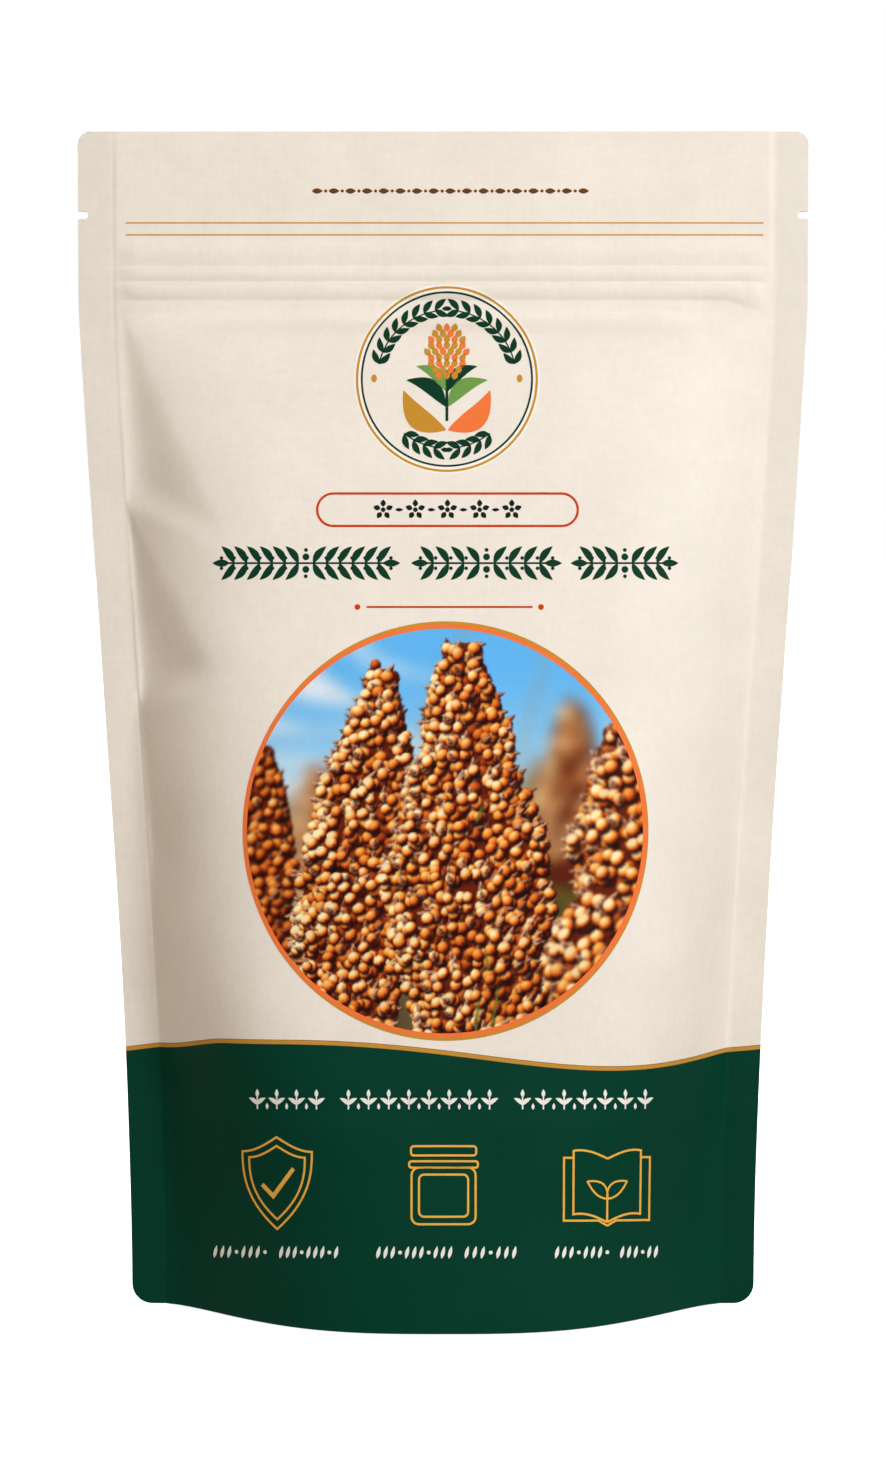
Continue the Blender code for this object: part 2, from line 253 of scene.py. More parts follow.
@dataclass(frozen=True)
class ZipBand:
    """How the press-to-close zip shows through the film: a raised band and two tracks on it."""

    low: float = 177.6
    high: float = 188.6
    step: float = 0.32
    shoulder: Bead = Bead(186.2, 188.6, 190.8, 0.36)
    tracks: tuple[Bead, ...] = (Bead(183.3, 184.9, 186.1, 0.56), Bead(180.1, 182.1, 183.25, 0.72))
    crush: float = 0.06
    crush_from: float = 54.6
    crush_to: float = 58.6
    curl_from: float = 49.0
    curl_ease: float = 8.0
    curl: float = 1.7
    flange_top: float = 191.6
    flange_top_ease: float = 3.4
    flange_foot: float = 168.0
    flange_foot_ease: float = 11.0

    def pressed(self, x: Array) -> Array:
        """Works out how much of the relief is left towards the side seals, where it is pressed flat."""
        share = smoothstep((np.abs(x) - self.crush_from) / (self.crush_to - self.crush_from))
        return 1 - (1 - self.crush) * share

    def stand_off(self, x: Array, z: Array) -> Array:
        """Works out how far the zip pushes a film out.

        A band that eases off above and below lies over the flanges, and the beads lie on it. The
        lowest bead widens downwards at the right, where the film curls into the seal.

        Args:
            x: places across the film.
            z: places up the film.

        Returns:
            The push in millimetres.
        """
        under_top = smoothstep((self.flange_top - z) / self.flange_top_ease)
        band = self.step * under_top * smoothstep((z - self.flange_foot) / self.flange_foot_ease)
        curl = self.curl * smoothstep((x - self.curl_from) / self.curl_ease)
        beads = self.shoulder.at(z)
        for number, bead in enumerate(self.tracks):
            beads = np.maximum(beads, bead.at(z, curl * number))
        return (band + beads) * self.pressed(x)


@dataclass(frozen=True)
class PouchShape:
    """The filled pouch's form: how wide it is at each height and how far its films swell."""

    flat_width: float
    height: float
    seal_width: float = 6.0
    film: float = 0.15
    film_gap: float = 0.10
    top_corner: float = 2.4
    foot_corner: float = 3.6
    foot_width: float = 112.0
    early_draw: float = 0.28
    foot_half_depth: float = 27.7
    swell_top: float = 178.6
    swell_power: float = 0.65
    swell_ease: float = 0.03
    foot_powers: tuple[float, float] = (3.0, 1.6)
    body_powers: tuple[float, float] = (5.5, 1.25)
    powers_from_z: float = 10.0
    powers_height: float = 60.0
    header_bulge: float = 0.35
    header_power: int = 6
    header_low: float = 188.5
    header_low_ease: float = 6.0
    header_top_ease: float = 12.0
    gusset_leg: float = 34.0
    gusset_layer: float = 0.17
    seal_step: float = 0.22
    seal_step_ease: float = 1.0
    notch_z: float = 195.2
    notch_height: float = 1.4
    notch_depth: float = 1.9
    sway: float = 0.45
    sway_length: float = 83.0
    sway_phases: tuple[float, float] = (3.4, 1.1)
    sway_from_x: float = 38.0
    sway_ease_x: float = 20.0
    zip_band: ZipBand = field(default_factory=ZipBand)

    @classmethod
    def from_frame(cls) -> PouchShape:
        """Takes the pouch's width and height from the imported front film."""
        low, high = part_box("front_panel")
        return cls(flat_width=(high.x - low.x) / MM, height=(high.z - low.z) / MM)

    def filled_share(self, z: Array) -> Array:
        """Gives 0 under the zip, where the swell starts, and 1 at the foot."""
        return np.clip((self.swell_top - z) / self.swell_top, 0.0, 1.0)

    def half_width(self, z: Array) -> Array:
        """Works out half of the width.

        It draws in by the mean of a quarter sine and a smoothstep, and a little more near the top.

        Args:
            z: heights.

        Returns:
            Half of the flat outline's width at each height.
        """
        t = self.filled_share(z)
        drawn_in = 0.5 * (np.sin(t * math.pi / 2) + smoothstep(t)) + self.early_draw * t * (1 - t) ** 3
        return (self.flat_width - (self.flat_width - self.foot_width) * drawn_in) / 2

    def inner_half_width(self, z: Array) -> Array:
        """Gives half of the width between the two side seals."""
        return self.half_width(z) - self.seal_width

    def edge(self, z: Array) -> Array:
        """Works out where the side edge is, with its round corners and its tear notch.

        A corner takes off r - sqrt(r^2 - h^2) at the height h into it. The notch is a slot that ends
        in a half circle of radius r, so it takes off depth - r + sqrt(r^2 - h^2) within r of its middle.

        Args:
            z: heights.

        Returns:
            X of the right edge at each height.
        """
        above = np.clip(z - (self.height - self.top_corner), 0, self.top_corner)
        below = np.clip(self.foot_corner - z, 0, self.foot_corner)
        top_cut = self.top_corner - np.sqrt(self.top_corner**2 - above**2)
        foot_cut = self.foot_corner - np.sqrt(self.foot_corner**2 - below**2)
        radius = self.notch_height / 2
        off = np.minimum(np.abs(z - self.notch_z), radius)
        slot = self.notch_depth - radius + np.sqrt(radius**2 - off**2)
        notch = np.where(np.abs(z - self.notch_z) <= radius + 1e-6, slot, 0.0)
        return self.half_width(z) - top_cut - foot_cut - notch

    def across(self, column: Array, z: Array, inset: float = 0.0) -> Array:
        """Turns a column value to X.

        Args:
            column: -1 to 1 between the side seals' inner edges, and out to -2 and 2 across a seal.
            z: heights.
            inset: how far inside the side edge the outermost column lies.

        Returns:
            X in millimetres.
        """
        inner = self.inner_half_width(z)
        outer = self.edge(z) - inset
        size = np.abs(column)
        x = np.where(size <= 1, size * inner, inner + (outer - inner) * (size - 1))
        return np.sign(column) * x

    def swell(self, x: Array, z: Array) -> Array:
        """Works out how far a film stands out from its flat state.

        Up the middle it is the foot's half depth times a quarter sine to a power. Across, it falls to
        nothing at the seals as (1 - u^first)^second, with u the share of the way from the middle to a
        seal. The two powers go from their values at the foot to those of the fuller body.

        Args:
            x: places across the film.
            z: places up the film.

        Returns:
            The swell in millimetres.
        """
        t = self.filled_share(z)
        depth = self.foot_half_depth * np.sin(t * math.pi / 2) ** self.swell_power
        depth = depth * smoothstep(t / self.swell_ease)
        u = np.minimum(np.abs(x) / self.inner_half_width(z), 1.0)
        above_foot = smoothstep((z - self.powers_from_z) / self.powers_height)
        first = self.foot_powers[0] + (self.body_powers[0] - self.foot_powers[0]) * above_foot
        second = self.foot_powers[1] + (self.body_powers[1] - self.foot_powers[1]) * above_foot
        return depth * (1 - u**first) ** second

    def header(self, x: Array, z: Array) -> Array:
        """Works out the slight bulge above the zip: (1 - u^6) across, eased off at the zip and the top.

        Args:
            x: places across the film.
            z: places up the film.

        Returns:
            The bulge in millimetres.
        """
        u = np.minimum(np.abs(x) / self.inner_half_width(z), 1.0)
        above_zip = smoothstep((z - self.header_low) / self.header_low_ease)
        between = above_zip * smoothstep((self.height - 1 - z) / self.header_top_ease)
        return self.header_bulge * (1 - u**self.header_power) * between

    def seal_line(self, x: Array, z: Array) -> Array:
        """Works out the slow wave of the seals, which every layer follows, as Y.

        It is a sine up each side, the two sides out of step, that dies away towards the middle, the
        zip and the foot.

        Args:
            x: places across the pouch.
            z: places up the pouch.

        Returns:
            Y of the seals' middle plane.
        """
        at_side = smoothstep((np.abs(x) - self.sway_from_x) / self.sway_ease_x)
        between = smoothstep((self.zip_band.low - 8 - z) / 40) * smoothstep((z - 6) / 30)
        left, right = self.sway_phases
        wave = np.sin(2 * math.pi * z / self.sway_length + np.where(x > 0, right, left))
        return self.sway * at_side * between * wave


@dataclass(frozen=True)
class FilmFace:
    """One printed web of the pouch: the shape, which side it is on and how it is creased."""

    shape: PouchShape
    side: Side
    tucks: tuple[Tuck, ...]
    waves: tuple[RandomWaves, ...]
    tuck_share: float = 0.92
    tuck_least: float = 0.05

    def outer_y(self, x: Array, z: Array) -> Array:
        """Works out Y of the film's outer face.

        It is the seals' middle plane, and outwards from it the gap, the film, the zip, the swell, the
        step off the side seals and the film's unevenness, less the tucks. A tuck is pressed into no
        more than the swell there: most * (1 - exp(-depth / most)).

        Args:
            x: places across the film.
            z: places up the film.

        Returns:
            Y in millimetres.
        """
        shape = self.shape
        over_gusset = shape.gusset_layer * smoothstep((shape.gusset_leg + 4 - z) / 2)
        off_seal = smoothstep((shape.inner_half_width(z) - np.abs(x)) / shape.seal_step_ease)
        out = shape.film_gap + shape.film + over_gusset + shape.zip_band.stand_off(x, z)
        swell = shape.swell(x, z)
        out = out + swell + shape.header(x, z) + shape.seal_step * off_seal
        loose = off_seal * smoothstep(z / 30)
        for waves in self.waves:
            out = out + loose * waves.at(x, z)
        hollow = np.zeros_like(out)
        for tuck in self.tucks:
            hollow = np.maximum(hollow, tuck.depth_at(x, z))
        most = self.tuck_share * swell + self.tuck_least
        out = out - off_seal * most * (1 - np.exp(-hollow / most))
        return shape.seal_line(x, z) + self.side.value * out


# ---- Meshes


def quads_of(index: Array) -> Array:
    """Lists the four corners of each cell of a grid of vertex numbers, right and up first."""
    cells = (index[:-1, :-1], index[:-1, 1:], index[1:, 1:], index[1:, :-1])
    return np.stack(cells, axis=-1).reshape(-1, 4)


@dataclass
class MeshParts:
    """Vertices and faces gathered from several surfaces, for one mesh."""

    points: list[Array] = field(default_factory=list)
    faces: list[Array] = field(default_factory=list)
    count: int = 0

    def add_slab(self, outer: Array, inner: Array, closed: bool = False, thin: int = 1) -> None:
        """Adds a closed slab between two grids of points that face each other.

        Seen from outside, a grid's columns run to the right and its rows run up. The slab's sides
        join the two grids' rims. The inner grid may keep only every few rows and columns: each of
        its rim edges is then joined to as many edges of the outer rim.

        Args:
            outer: the outer grid, of shape (rows, columns, 3), in millimetres.
            inner: the inner grid, of the same shape.
            closed: whether the last column joins the first.
            thin: the step between the rows and columns that the inner grid keeps.
        """
        inner = inner[::thin, ::thin]
        near = np.arange(outer.shape[0] * outer.shape[1]).reshape(outer.shape[:2])
        far = near.size + np.arange(inner.shape[0] * inner.shape[1]).reshape(inner.shape[:2])
        if closed:
            near = np.concatenate([near, near[:, :1]], axis=1)
            far = np.concatenate([far, far[:, :1]], axis=1)
        self.points += [outer.reshape(-1, 3), inner.reshape(-1, 3)]
        self.faces.append(self.count + quads_of(near))
        self.faces.append(self.count + quads_of(far)[:, ::-1])
        rims = [(near[0], far[0]), (near[-1, ::-1], far[-1, ::-1])]
        if not closed:
            rims += [(near[:, -1], far[:, -1]), (near[::-1, 0], far[::-1, 0])]
        for outside, inside in rims:
            runs = [outside[step : len(outside) - thin + step : thin] for step in range(thin + 1)]
            side = np.stack([inside[1:], *runs[::-1], inside[:-1]], axis=-1)
            self.faces.append(self.count + side)
        self.count += outer.shape[0] * outer.shape[1] + inner.shape[0] * inner.shape[1]

    def mesh(self, name: str) -> bpy.types.Mesh:
        """Makes the mesh in metres, smooth but for its sharp edges.

        Args:
            name: the mesh's name.

        Returns:
            The mesh.
        """
        made = bpy.data.meshes.new(name)
        points = np.concatenate(self.points) * MM
        faces = [face for block in self.faces for face in block.tolist()]
        made.from_pydata(points.tolist(), [], faces)
        made.shade_smooth()
        made.set_sharp_from_angle(angle=SHARP_EDGE)
        made.update()
        return made


def add_float_attribute(mesh: bpy.types.Mesh, name: str, values: Array) -> None:
    """Stores one number for each vertex under a name that the materials read."""
    mesh.attributes.new(name, "FLOAT", "POINT").data.foreach_set("value", values.astype(np.float32))


def add_flat_map(mesh: bpy.types.Mesh, low: Place, high: Place) -> None:
    """Lays a UV map over X and Z, spread as the print is seen from the front.

    Args:
        mesh: the mesh, in metres.
        low: X and Z in millimetres of the map's lower left corner.
        high: X and Z of its upper right corner.
    """
    places = np.zeros(len(mesh.vertices) * 3)
    mesh.vertices.foreach_get("co", places)
    places = places.reshape(-1, 3)[:, [0, 2]] / MM
    shares = (places - np.array(low)) / (np.array(high) - np.array(low))
    vertex = np.zeros(len(mesh.loops), np.int32)
    mesh.loops.foreach_get("vertex_index", vertex)
    layer = mesh.uv_layers.new(name=BAKE_MAP)
    layer.uv.foreach_set("vector", np.clip(shares, 0.001, 0.999)[vertex].ravel())


def show(mesh: bpy.types.Mesh, material: bpy.types.Material) -> bpy.types.Object:
    """Puts a finished mesh in the scene as a piece of the pouch.

    Args:
        mesh: the mesh, whose name the piece takes.
        material: its finish.

    Returns:
        The piece, riding on the pouch.
    """
    piece = bpy.data.objects.new(mesh.name, mesh)
    bpy.context.scene.collection.objects.link(piece)
    mesh.materials.append(material)
    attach(piece, BODY)
    LOG.info("%s: %d vertices, %d faces", piece.name, len(mesh.vertices), len(mesh.polygons))
    return piece


# ---- Finishes


@dataclass(frozen=True)
class SoftTouchLaminate:
    """Polyester film, reverse printed and laminated, with a soft-touch matt lacquer outside.

    The lacquer gives the eye a broad dull sheen with no mirror image. The coarse laminating roll
    leaves a faint linen grain, which is drawn at 0.7 mm so that it shows.
    """

    roughness: float = 0.6
    ior: float = 1.49
    specular: float = 0.06
    grain_mm: float = 0.7
    thread_mm: float = 3.0
    grain_height_mm: float = 0.03
    grain_strength: float = 0.16
    mottle_mm: float = 16.0
    mottle: float = 0.03
    speckle: float = 0.026
    sealed: float = 0.06

    def dress(self, tree: bpy.types.NodeTree, colour: bpy.types.NodeSocket | tuple) -> None:
        """Builds the laminate's surface over a printed colour.

        Two noises, one drawn out along X and one along Z, cross as threads. They press the bump and
        tint the colour a little, a slow noise gives the print its uneven lay of ink, and the crushed
        side seals are a little darker. The three factors are multiplied.

        Args:
            tree: the material's node tree, with its Principled BSDF.
            colour: the printed colour, or the socket that gives it.
        """
        place = node(tree, "TexCoord", {}, {}).outputs["Object"]
        fine, long = 1 / (self.grain_mm * MM), 1 / (self.thread_mm * MM)
        thread = {"Scale": 1.0, "Detail": 1.0, "Roughness": 0.4}
        threads = []
        for scale in ((fine, fine, long), (long, fine, fine)):
            turned = node(tree, "Mapping", {}, {"Vector": place, "Scale": scale})
            noise = node(tree, "TexNoise", {}, {"Vector": turned.outputs[0], **thread})
            threads.append(noise.outputs[0])
        weave = node(tree, "Math", {"operation": "ADD"}, {0: threads[0], 1: threads[1]})
        blotch = {"Scale": 1 / (self.mottle_mm * MM), "Detail": 3.0, "Roughness": 0.55}
        slow = node(tree, "TexNoise", {}, {"Vector": place, **blotch})
        crushed = node(tree, "Attribute", {"attribute_name": SEAL_ATTRIBUTE}, {})
        factors = (
            (weave.outputs[0], 0.6, 1.4, 1 - self.speckle, 1 + self.speckle),
            (slow.outputs[0], 0.3, 0.7, 1 - self.mottle, 1 + self.mottle),
            (crushed.outputs["Fac"], 0.0, 1.0, 1.0, 1 - self.sealed),
        )
        lay = 1.0
        for source, low, high, at_low, at_high in factors:
            ends = {1: low, 2: high, 3: at_low, 4: at_high}
            factor = node(tree, "MapRange", {}, {0: source, **ends})
            both = node(tree, "Math", {"operation": "MULTIPLY"}, {0: factor.outputs[0], 1: lay})
            lay = both.outputs[0]
        tinted = node(tree, "VectorMath", {"operation": "SCALE"}, {0: colour, "Scale": lay})
        pressed = {"Strength": self.grain_strength, "Distance": self.grain_height_mm * MM}
        bump = node(tree, "Bump", {}, {**pressed, "Height": weave.outputs[0]})
        shader = tree.nodes["Principled BSDF"]
        shader.inputs["Roughness"].default_value = self.roughness
        shader.inputs["IOR"].default_value = self.ior
        shader.inputs["Specular IOR Level"].default_value = self.specular
        tree.links.new(tinted.outputs[0], shader.inputs["Base Color"])
        tree.links.new(bump.outputs[0], shader.inputs["Normal"])


def new_material(name: str) -> bpy.types.Material:
    """Makes a material with a Principled BSDF.

    Args:
        name: its name, after the real material.

    Returns:
        The material, which uses nodes.
    """
    made = bpy.data.materials.new(name)
    made.use_nodes = True
    return made


@dataclass(frozen=True)
class PrintedFilm:
    """The pouch's printed web: cream above, a thin gold band along a wave, and green below it."""

    laminate: SoftTouchLaminate
    cream: str = "f0e8db"
    gold: str = "c8913a"
    gold_edge: str = "9a6a26"
    green: str = "003d2c"
    band: float = 0.8
    band_edge: float = 0.12

    def material(self) -> bpy.types.Material:
        """Paints by height over the wave: green, then gold, a brown hairline, and cream above 0.

        Returns:
            The printed film's material.
        """
        made = new_material("soft_touch_laminate_reverse_printed")
        tree = made.node_tree
        above = node(tree, "Attribute", {"attribute_name": BAND_ATTRIBUTE}, {})
        colour = linear(self.green)
        for height, ink in ((-self.band, self.gold), (-self.band_edge, self.gold_edge), (0.0, self.cream)):
            passed = {0: above.outputs["Fac"], 1: height}
            over = node(tree, "Math", {"operation": "GREATER_THAN"}, passed)
            inks = {0: over.outputs[0], 6: colour, 7: linear(ink)}
            colour = node(tree, "Mix", {"data_type": "RGBA"}, inks).outputs[2]
        self.laminate.dress(tree, colour)
        return made


@dataclass(frozen=True)
class PrintInk:
    """Gravure ink of one colour behind the same matt laminate, so it has the film's own grain."""

    laminate: SoftTouchLaminate
    ink: Ink

    def material(self) -> bpy.types.Material:
        """Makes the ink's material.

        Returns:
            The material.
        """
        made = new_material(f"gravure_ink_{self.ink.name.lower()}")
        self.laminate.dress(made.node_tree, linear(self.ink.value)[:3])
        return made


@dataclass(frozen=True)
class ZipPolyethylene:
    """Low-density polyethylene, extruded: milky and waxy, with fine draw lines along it."""

    colour: str = "e9e6dd"
    pale: str = "f4f2ea"
    roughness: float = 0.38
    ior: float = 1.51
    line_mm: float = 0.35
    line_height_mm: float = 0.03
    along: float = 4.0

    def material(self) -> bpy.types.Material:
        """Makes the material: light goes a little way in, and the draw lines vary the gloss.

        Returns:
            The zip's material.
        """
        made = new_material("extruded_low_density_polyethylene")
        tree = made.node_tree
        place = node(tree, "TexCoord", {}, {}).outputs["Object"]
        scale = (self.along, self.along, 1 / (self.line_mm * MM))
        drawn = node(tree, "Mapping", {}, {"Vector": place, "Scale": scale})
        lined = {"Vector": drawn.outputs[0], "Scale": 1.0, "Detail": 2.0}
        lines = node(tree, "TexNoise", {}, lined).outputs[0]
        ends = {3: self.roughness - 0.08, 4: self.roughness + 0.10}
        gloss = node(tree, "MapRange", {}, {0: lines, **ends})
        tones = {0: lines, 6: linear(self.colour), 7: linear(self.pale)}
        tone = node(tree, "Mix", {"data_type": "RGBA"}, tones)
        pressed = {"Strength": 0.2, "Distance": self.line_height_mm * MM}
        bump = node(tree, "Bump", {}, {**pressed, "Height": lines})
        shader = tree.nodes["Principled BSDF"]
        shader.inputs["IOR"].default_value = self.ior
        shader.inputs["Subsurface Weight"].default_value = 0.25
        shader.inputs["Subsurface Scale"].default_value = MM
        tree.links.new(tone.outputs[2], shader.inputs["Base Color"])
        tree.links.new(gloss.outputs[0], shader.inputs["Roughness"])
        tree.links.new(bump.outputs[0], shader.inputs["Normal"])
        return made


@dataclass(frozen=True)
class SorghumGrain:
    """Dry sorghum grain in bulk: round kernels, each of its own tone between red-brown and pale, with painted
    shade that darkens each towards its rim and fills the gaps between them.
    """

    kernel_mm: float = 4.0
    # The colour of the gaps is painted shade between the kernels, and the last two numbers set how far out
    # from each kernel's middle it takes over.
    gap: str = "2a1208"
    dark: str = "8e4218"
    pale: str = "d9a066"
    depth_mm: float = 1.4
    roughness: float = 0.45
    shade_from: float = 0.38
    shade_to: float = 0.62

    def material(self) -> bpy.types.Material:
        """Makes the material: a cell for each kernel, domed by a bump and of its own tone, with painted shade
        darker towards its rim and in the gaps.

        Returns:
            The seeds' material.
        """
        made = new_material("dry_sorghum_grain")
        tree = made.node_tree
        place = node(tree, "TexCoord", {}, {}).outputs["Object"]
        kernels = {"Vector": place, "Scale": 1 / (self.kernel_mm * MM)}
        cells = node(tree, "TexVoronoi", {}, kernels)
        own = node(tree, "SeparateColor", {}, {0: cells.outputs["Color"]})
        tones = {0: own.outputs[0], 6: linear(self.dark), 7: linear(self.pale)}
        tone = node(tree, "Mix", {"data_type": "RGBA"}, tones)
        # Painted shade: from the kernel's middle outwards, its colour fades into the dark gap colour.
        ends = {1: self.shade_from, 2: self.shade_to}
        smooth = {"interpolation_type": "SMOOTHSTEP"}
        rim = node(tree, "MapRange", smooth, {0: cells.outputs["Distance"], **ends})
        gaps = {0: rim.outputs[0], 6: tone.outputs[2], 7: linear(self.gap)}
        colour = node(tree, "Mix", {"data_type": "RGBA"}, gaps)
        domed = {"Strength": 0.9, "Distance": self.depth_mm * MM}
        bump = node(tree, "Bump", {"invert": True}, {**domed, "Height": cells.outputs["Distance"]})
        shader = tree.nodes["Principled BSDF"]
        shader.inputs["Roughness"].default_value = self.roughness
        tree.links.new(colour.outputs[2], shader.inputs["Base Color"])
        tree.links.new(bump.outputs[0], shader.inputs["Normal"])
        return made


@dataclass(frozen=True)
class PictureInk:
    """Four-colour gravure picture behind the matt laminate: the colours come with the mesh."""

    laminate: SoftTouchLaminate

    def material(self) -> bpy.types.Material:
        """Makes the picture's material.

        Returns:
            The material, which takes its colour from the mesh.
        """
        made = new_material("four_colour_gravure_print")
        dots = node(made.node_tree, "Attribute", {"attribute_name": PICTURE_ATTRIBUTE}, {})
        self.laminate.dress(made.node_tree, dots.outputs["Color"])
        return made


# ---- Film webs


@dataclass(frozen=True)
class WaveBand:
    """The line along which the print turns from cream to green."""

    middle: float = 48.3
    height: float = 2.5
    start_x: float = -55.0
    length: float = 124.0
    drop: float = 1.6
    drop_from_x: float = -38.0
    drop_length: float = 12.0

    def top(self, x: Array) -> Array:
        """Works out the gold band's upper edge: a sine across the pouch that drops more at its left.

        Args:
            x: places across the film.

        Returns:
            The edge's height at each place.
        """
        wave = np.sin(2 * math.pi * (x - self.start_x) / self.length)
        dropped = self.drop * smoothstep((self.drop_from_x - x) / self.drop_length)
        return self.middle + self.height * wave - dropped

    def above(self, x: Array, z: Array) -> Array:
        """Works out how far a place is above the band's upper edge, square to the edge.

        Args:
            x: places across the film.
            z: places up the film.

        Returns:
            The distance in millimetres: Z over the edge's, over sqrt(1 + slope^2).
        """
        slope = self.height * 2 * math.pi / self.length
        tilt = slope * np.cos(2 * math.pi * (x - self.start_x) / self.length)
        return (z - self.top(x)) / np.sqrt(1 + tilt**2)


@dataclass(frozen=True)
class FilmWeb:
    """The front or the back web: one film from edge to edge, with its corners and tear notches."""

    face: FilmFace
    band: WaveBand
    body_columns: int = 210
    seal_columns: int = 8
    crowded_share: float = 0.045
    crowded_power: float = 1.4
    body_row: float = 0.98
    zip_row: float = 0.20
    notch_lip: float = 0.02
    seal_ease: float = 0.5

    def columns(self) -> Array:
        """Gives the column values: even in the body, closer at the seals' inner edges, even across them.

        Returns:
            Rising values from -2 to 2.
        """
        body = np.linspace(0, 1, self.body_columns // 2 + 1)
        crowded = 1 - self.crowded_share * np.linspace(1, 0, 9) ** self.crowded_power
        seal = 1 + np.linspace(0, 1, self.seal_columns + 1)
        even = body[body < crowded[0] - 0.001]
        right = np.unique(np.round(np.concatenate([even, crowded, seal]), 6))
        return np.concatenate([-right[:0:-1], right])

    def rows(self) -> Array:
        """Gives the rows' heights: close together at the corners, the notch and the zip's tracks.

        Returns:
            Rising heights.
        """
        shape = self.face.shape
        quarter = np.linspace(0, math.pi / 2, 8)
        foot = shape.foot_corner * (1 - np.cos(quarter))
        top = shape.height - shape.top_corner * (1 - np.sin(quarter))
        zip_low, zip_high = shape.zip_band.low + 1, shape.zip_band.high + 2
        body = np.arange(shape.foot_corner + 1, zip_low - 0.5, self.body_row)
        tracks = np.arange(zip_low, zip_high, self.zip_row)
        radius = shape.notch_height / 2
        round_end = shape.notch_z + radius * np.sin(np.linspace(-math.pi / 2, math.pi / 2, 9))
        lip = radius + self.notch_lip
        notch = np.concatenate([[shape.notch_z - lip], round_end, [shape.notch_z + lip]])
        below_notch = np.arange(zip_high + 0.6, notch[0] - 0.4, 0.9)
        above_notch = np.arange(notch[-1] + 0.6, top[0] - 0.4, 1.2)
        return np.concatenate([foot, body, tracks, below_notch, notch, above_notch, top])

    @staticmethod
    def even(places: Array) -> Array:
        """Adds a place in the widest gap when needed, so that the number of gaps is even.

        Args:
            places: the places.

        Returns:
            The sorted places.
        """
        places = np.unique(places)
        if len(places) % 2:
            return places
        widest = int(np.argmax(np.diff(places)))
        return np.insert(places, widest + 1, places[widest : widest + 2].mean())

    def build(self, name: str, node_name: str, material: bpy.types.Material) -> bpy.types.Object:
        """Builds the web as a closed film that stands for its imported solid.

        Args:
            name: the piece's name.
            node_name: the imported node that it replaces.
            material: the printed film.

        Returns:
            The piece.
        """
        face = self.face
        column, z = np.meshgrid(self.even(self.columns()), self.even(self.rows()))
        if face.side is Side.BACK:
            column = column[:, ::-1]
        x = face.shape.across(column, z)
        outer_y = face.outer_y(x, z)
        inner_y = outer_y - face.side.value * face.shape.film
        parts = MeshParts()
        parts.add_slab(np.stack([x, outer_y, z], axis=-1), np.stack([x, inner_y, z], axis=-1), thin=2)
        mesh = parts.mesh(name)
        sealed = smoothstep((np.abs(x) - face.shape.inner_half_width(z)) / self.seal_ease)
        for attribute, values in ((BAND_ATTRIBUTE, self.band.above(x, z)), (SEAL_ATTRIBUTE, sealed)):
            both_faces = np.concatenate([values.ravel(), values[::2, ::2].ravel()])
            add_float_attribute(mesh, attribute, both_faces)
        half = face.shape.flat_width / 2
        add_flat_map(mesh, (-half, 0.0), (half, face.shape.height))
        piece = show(mesh, material)
        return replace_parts(piece, node_name)


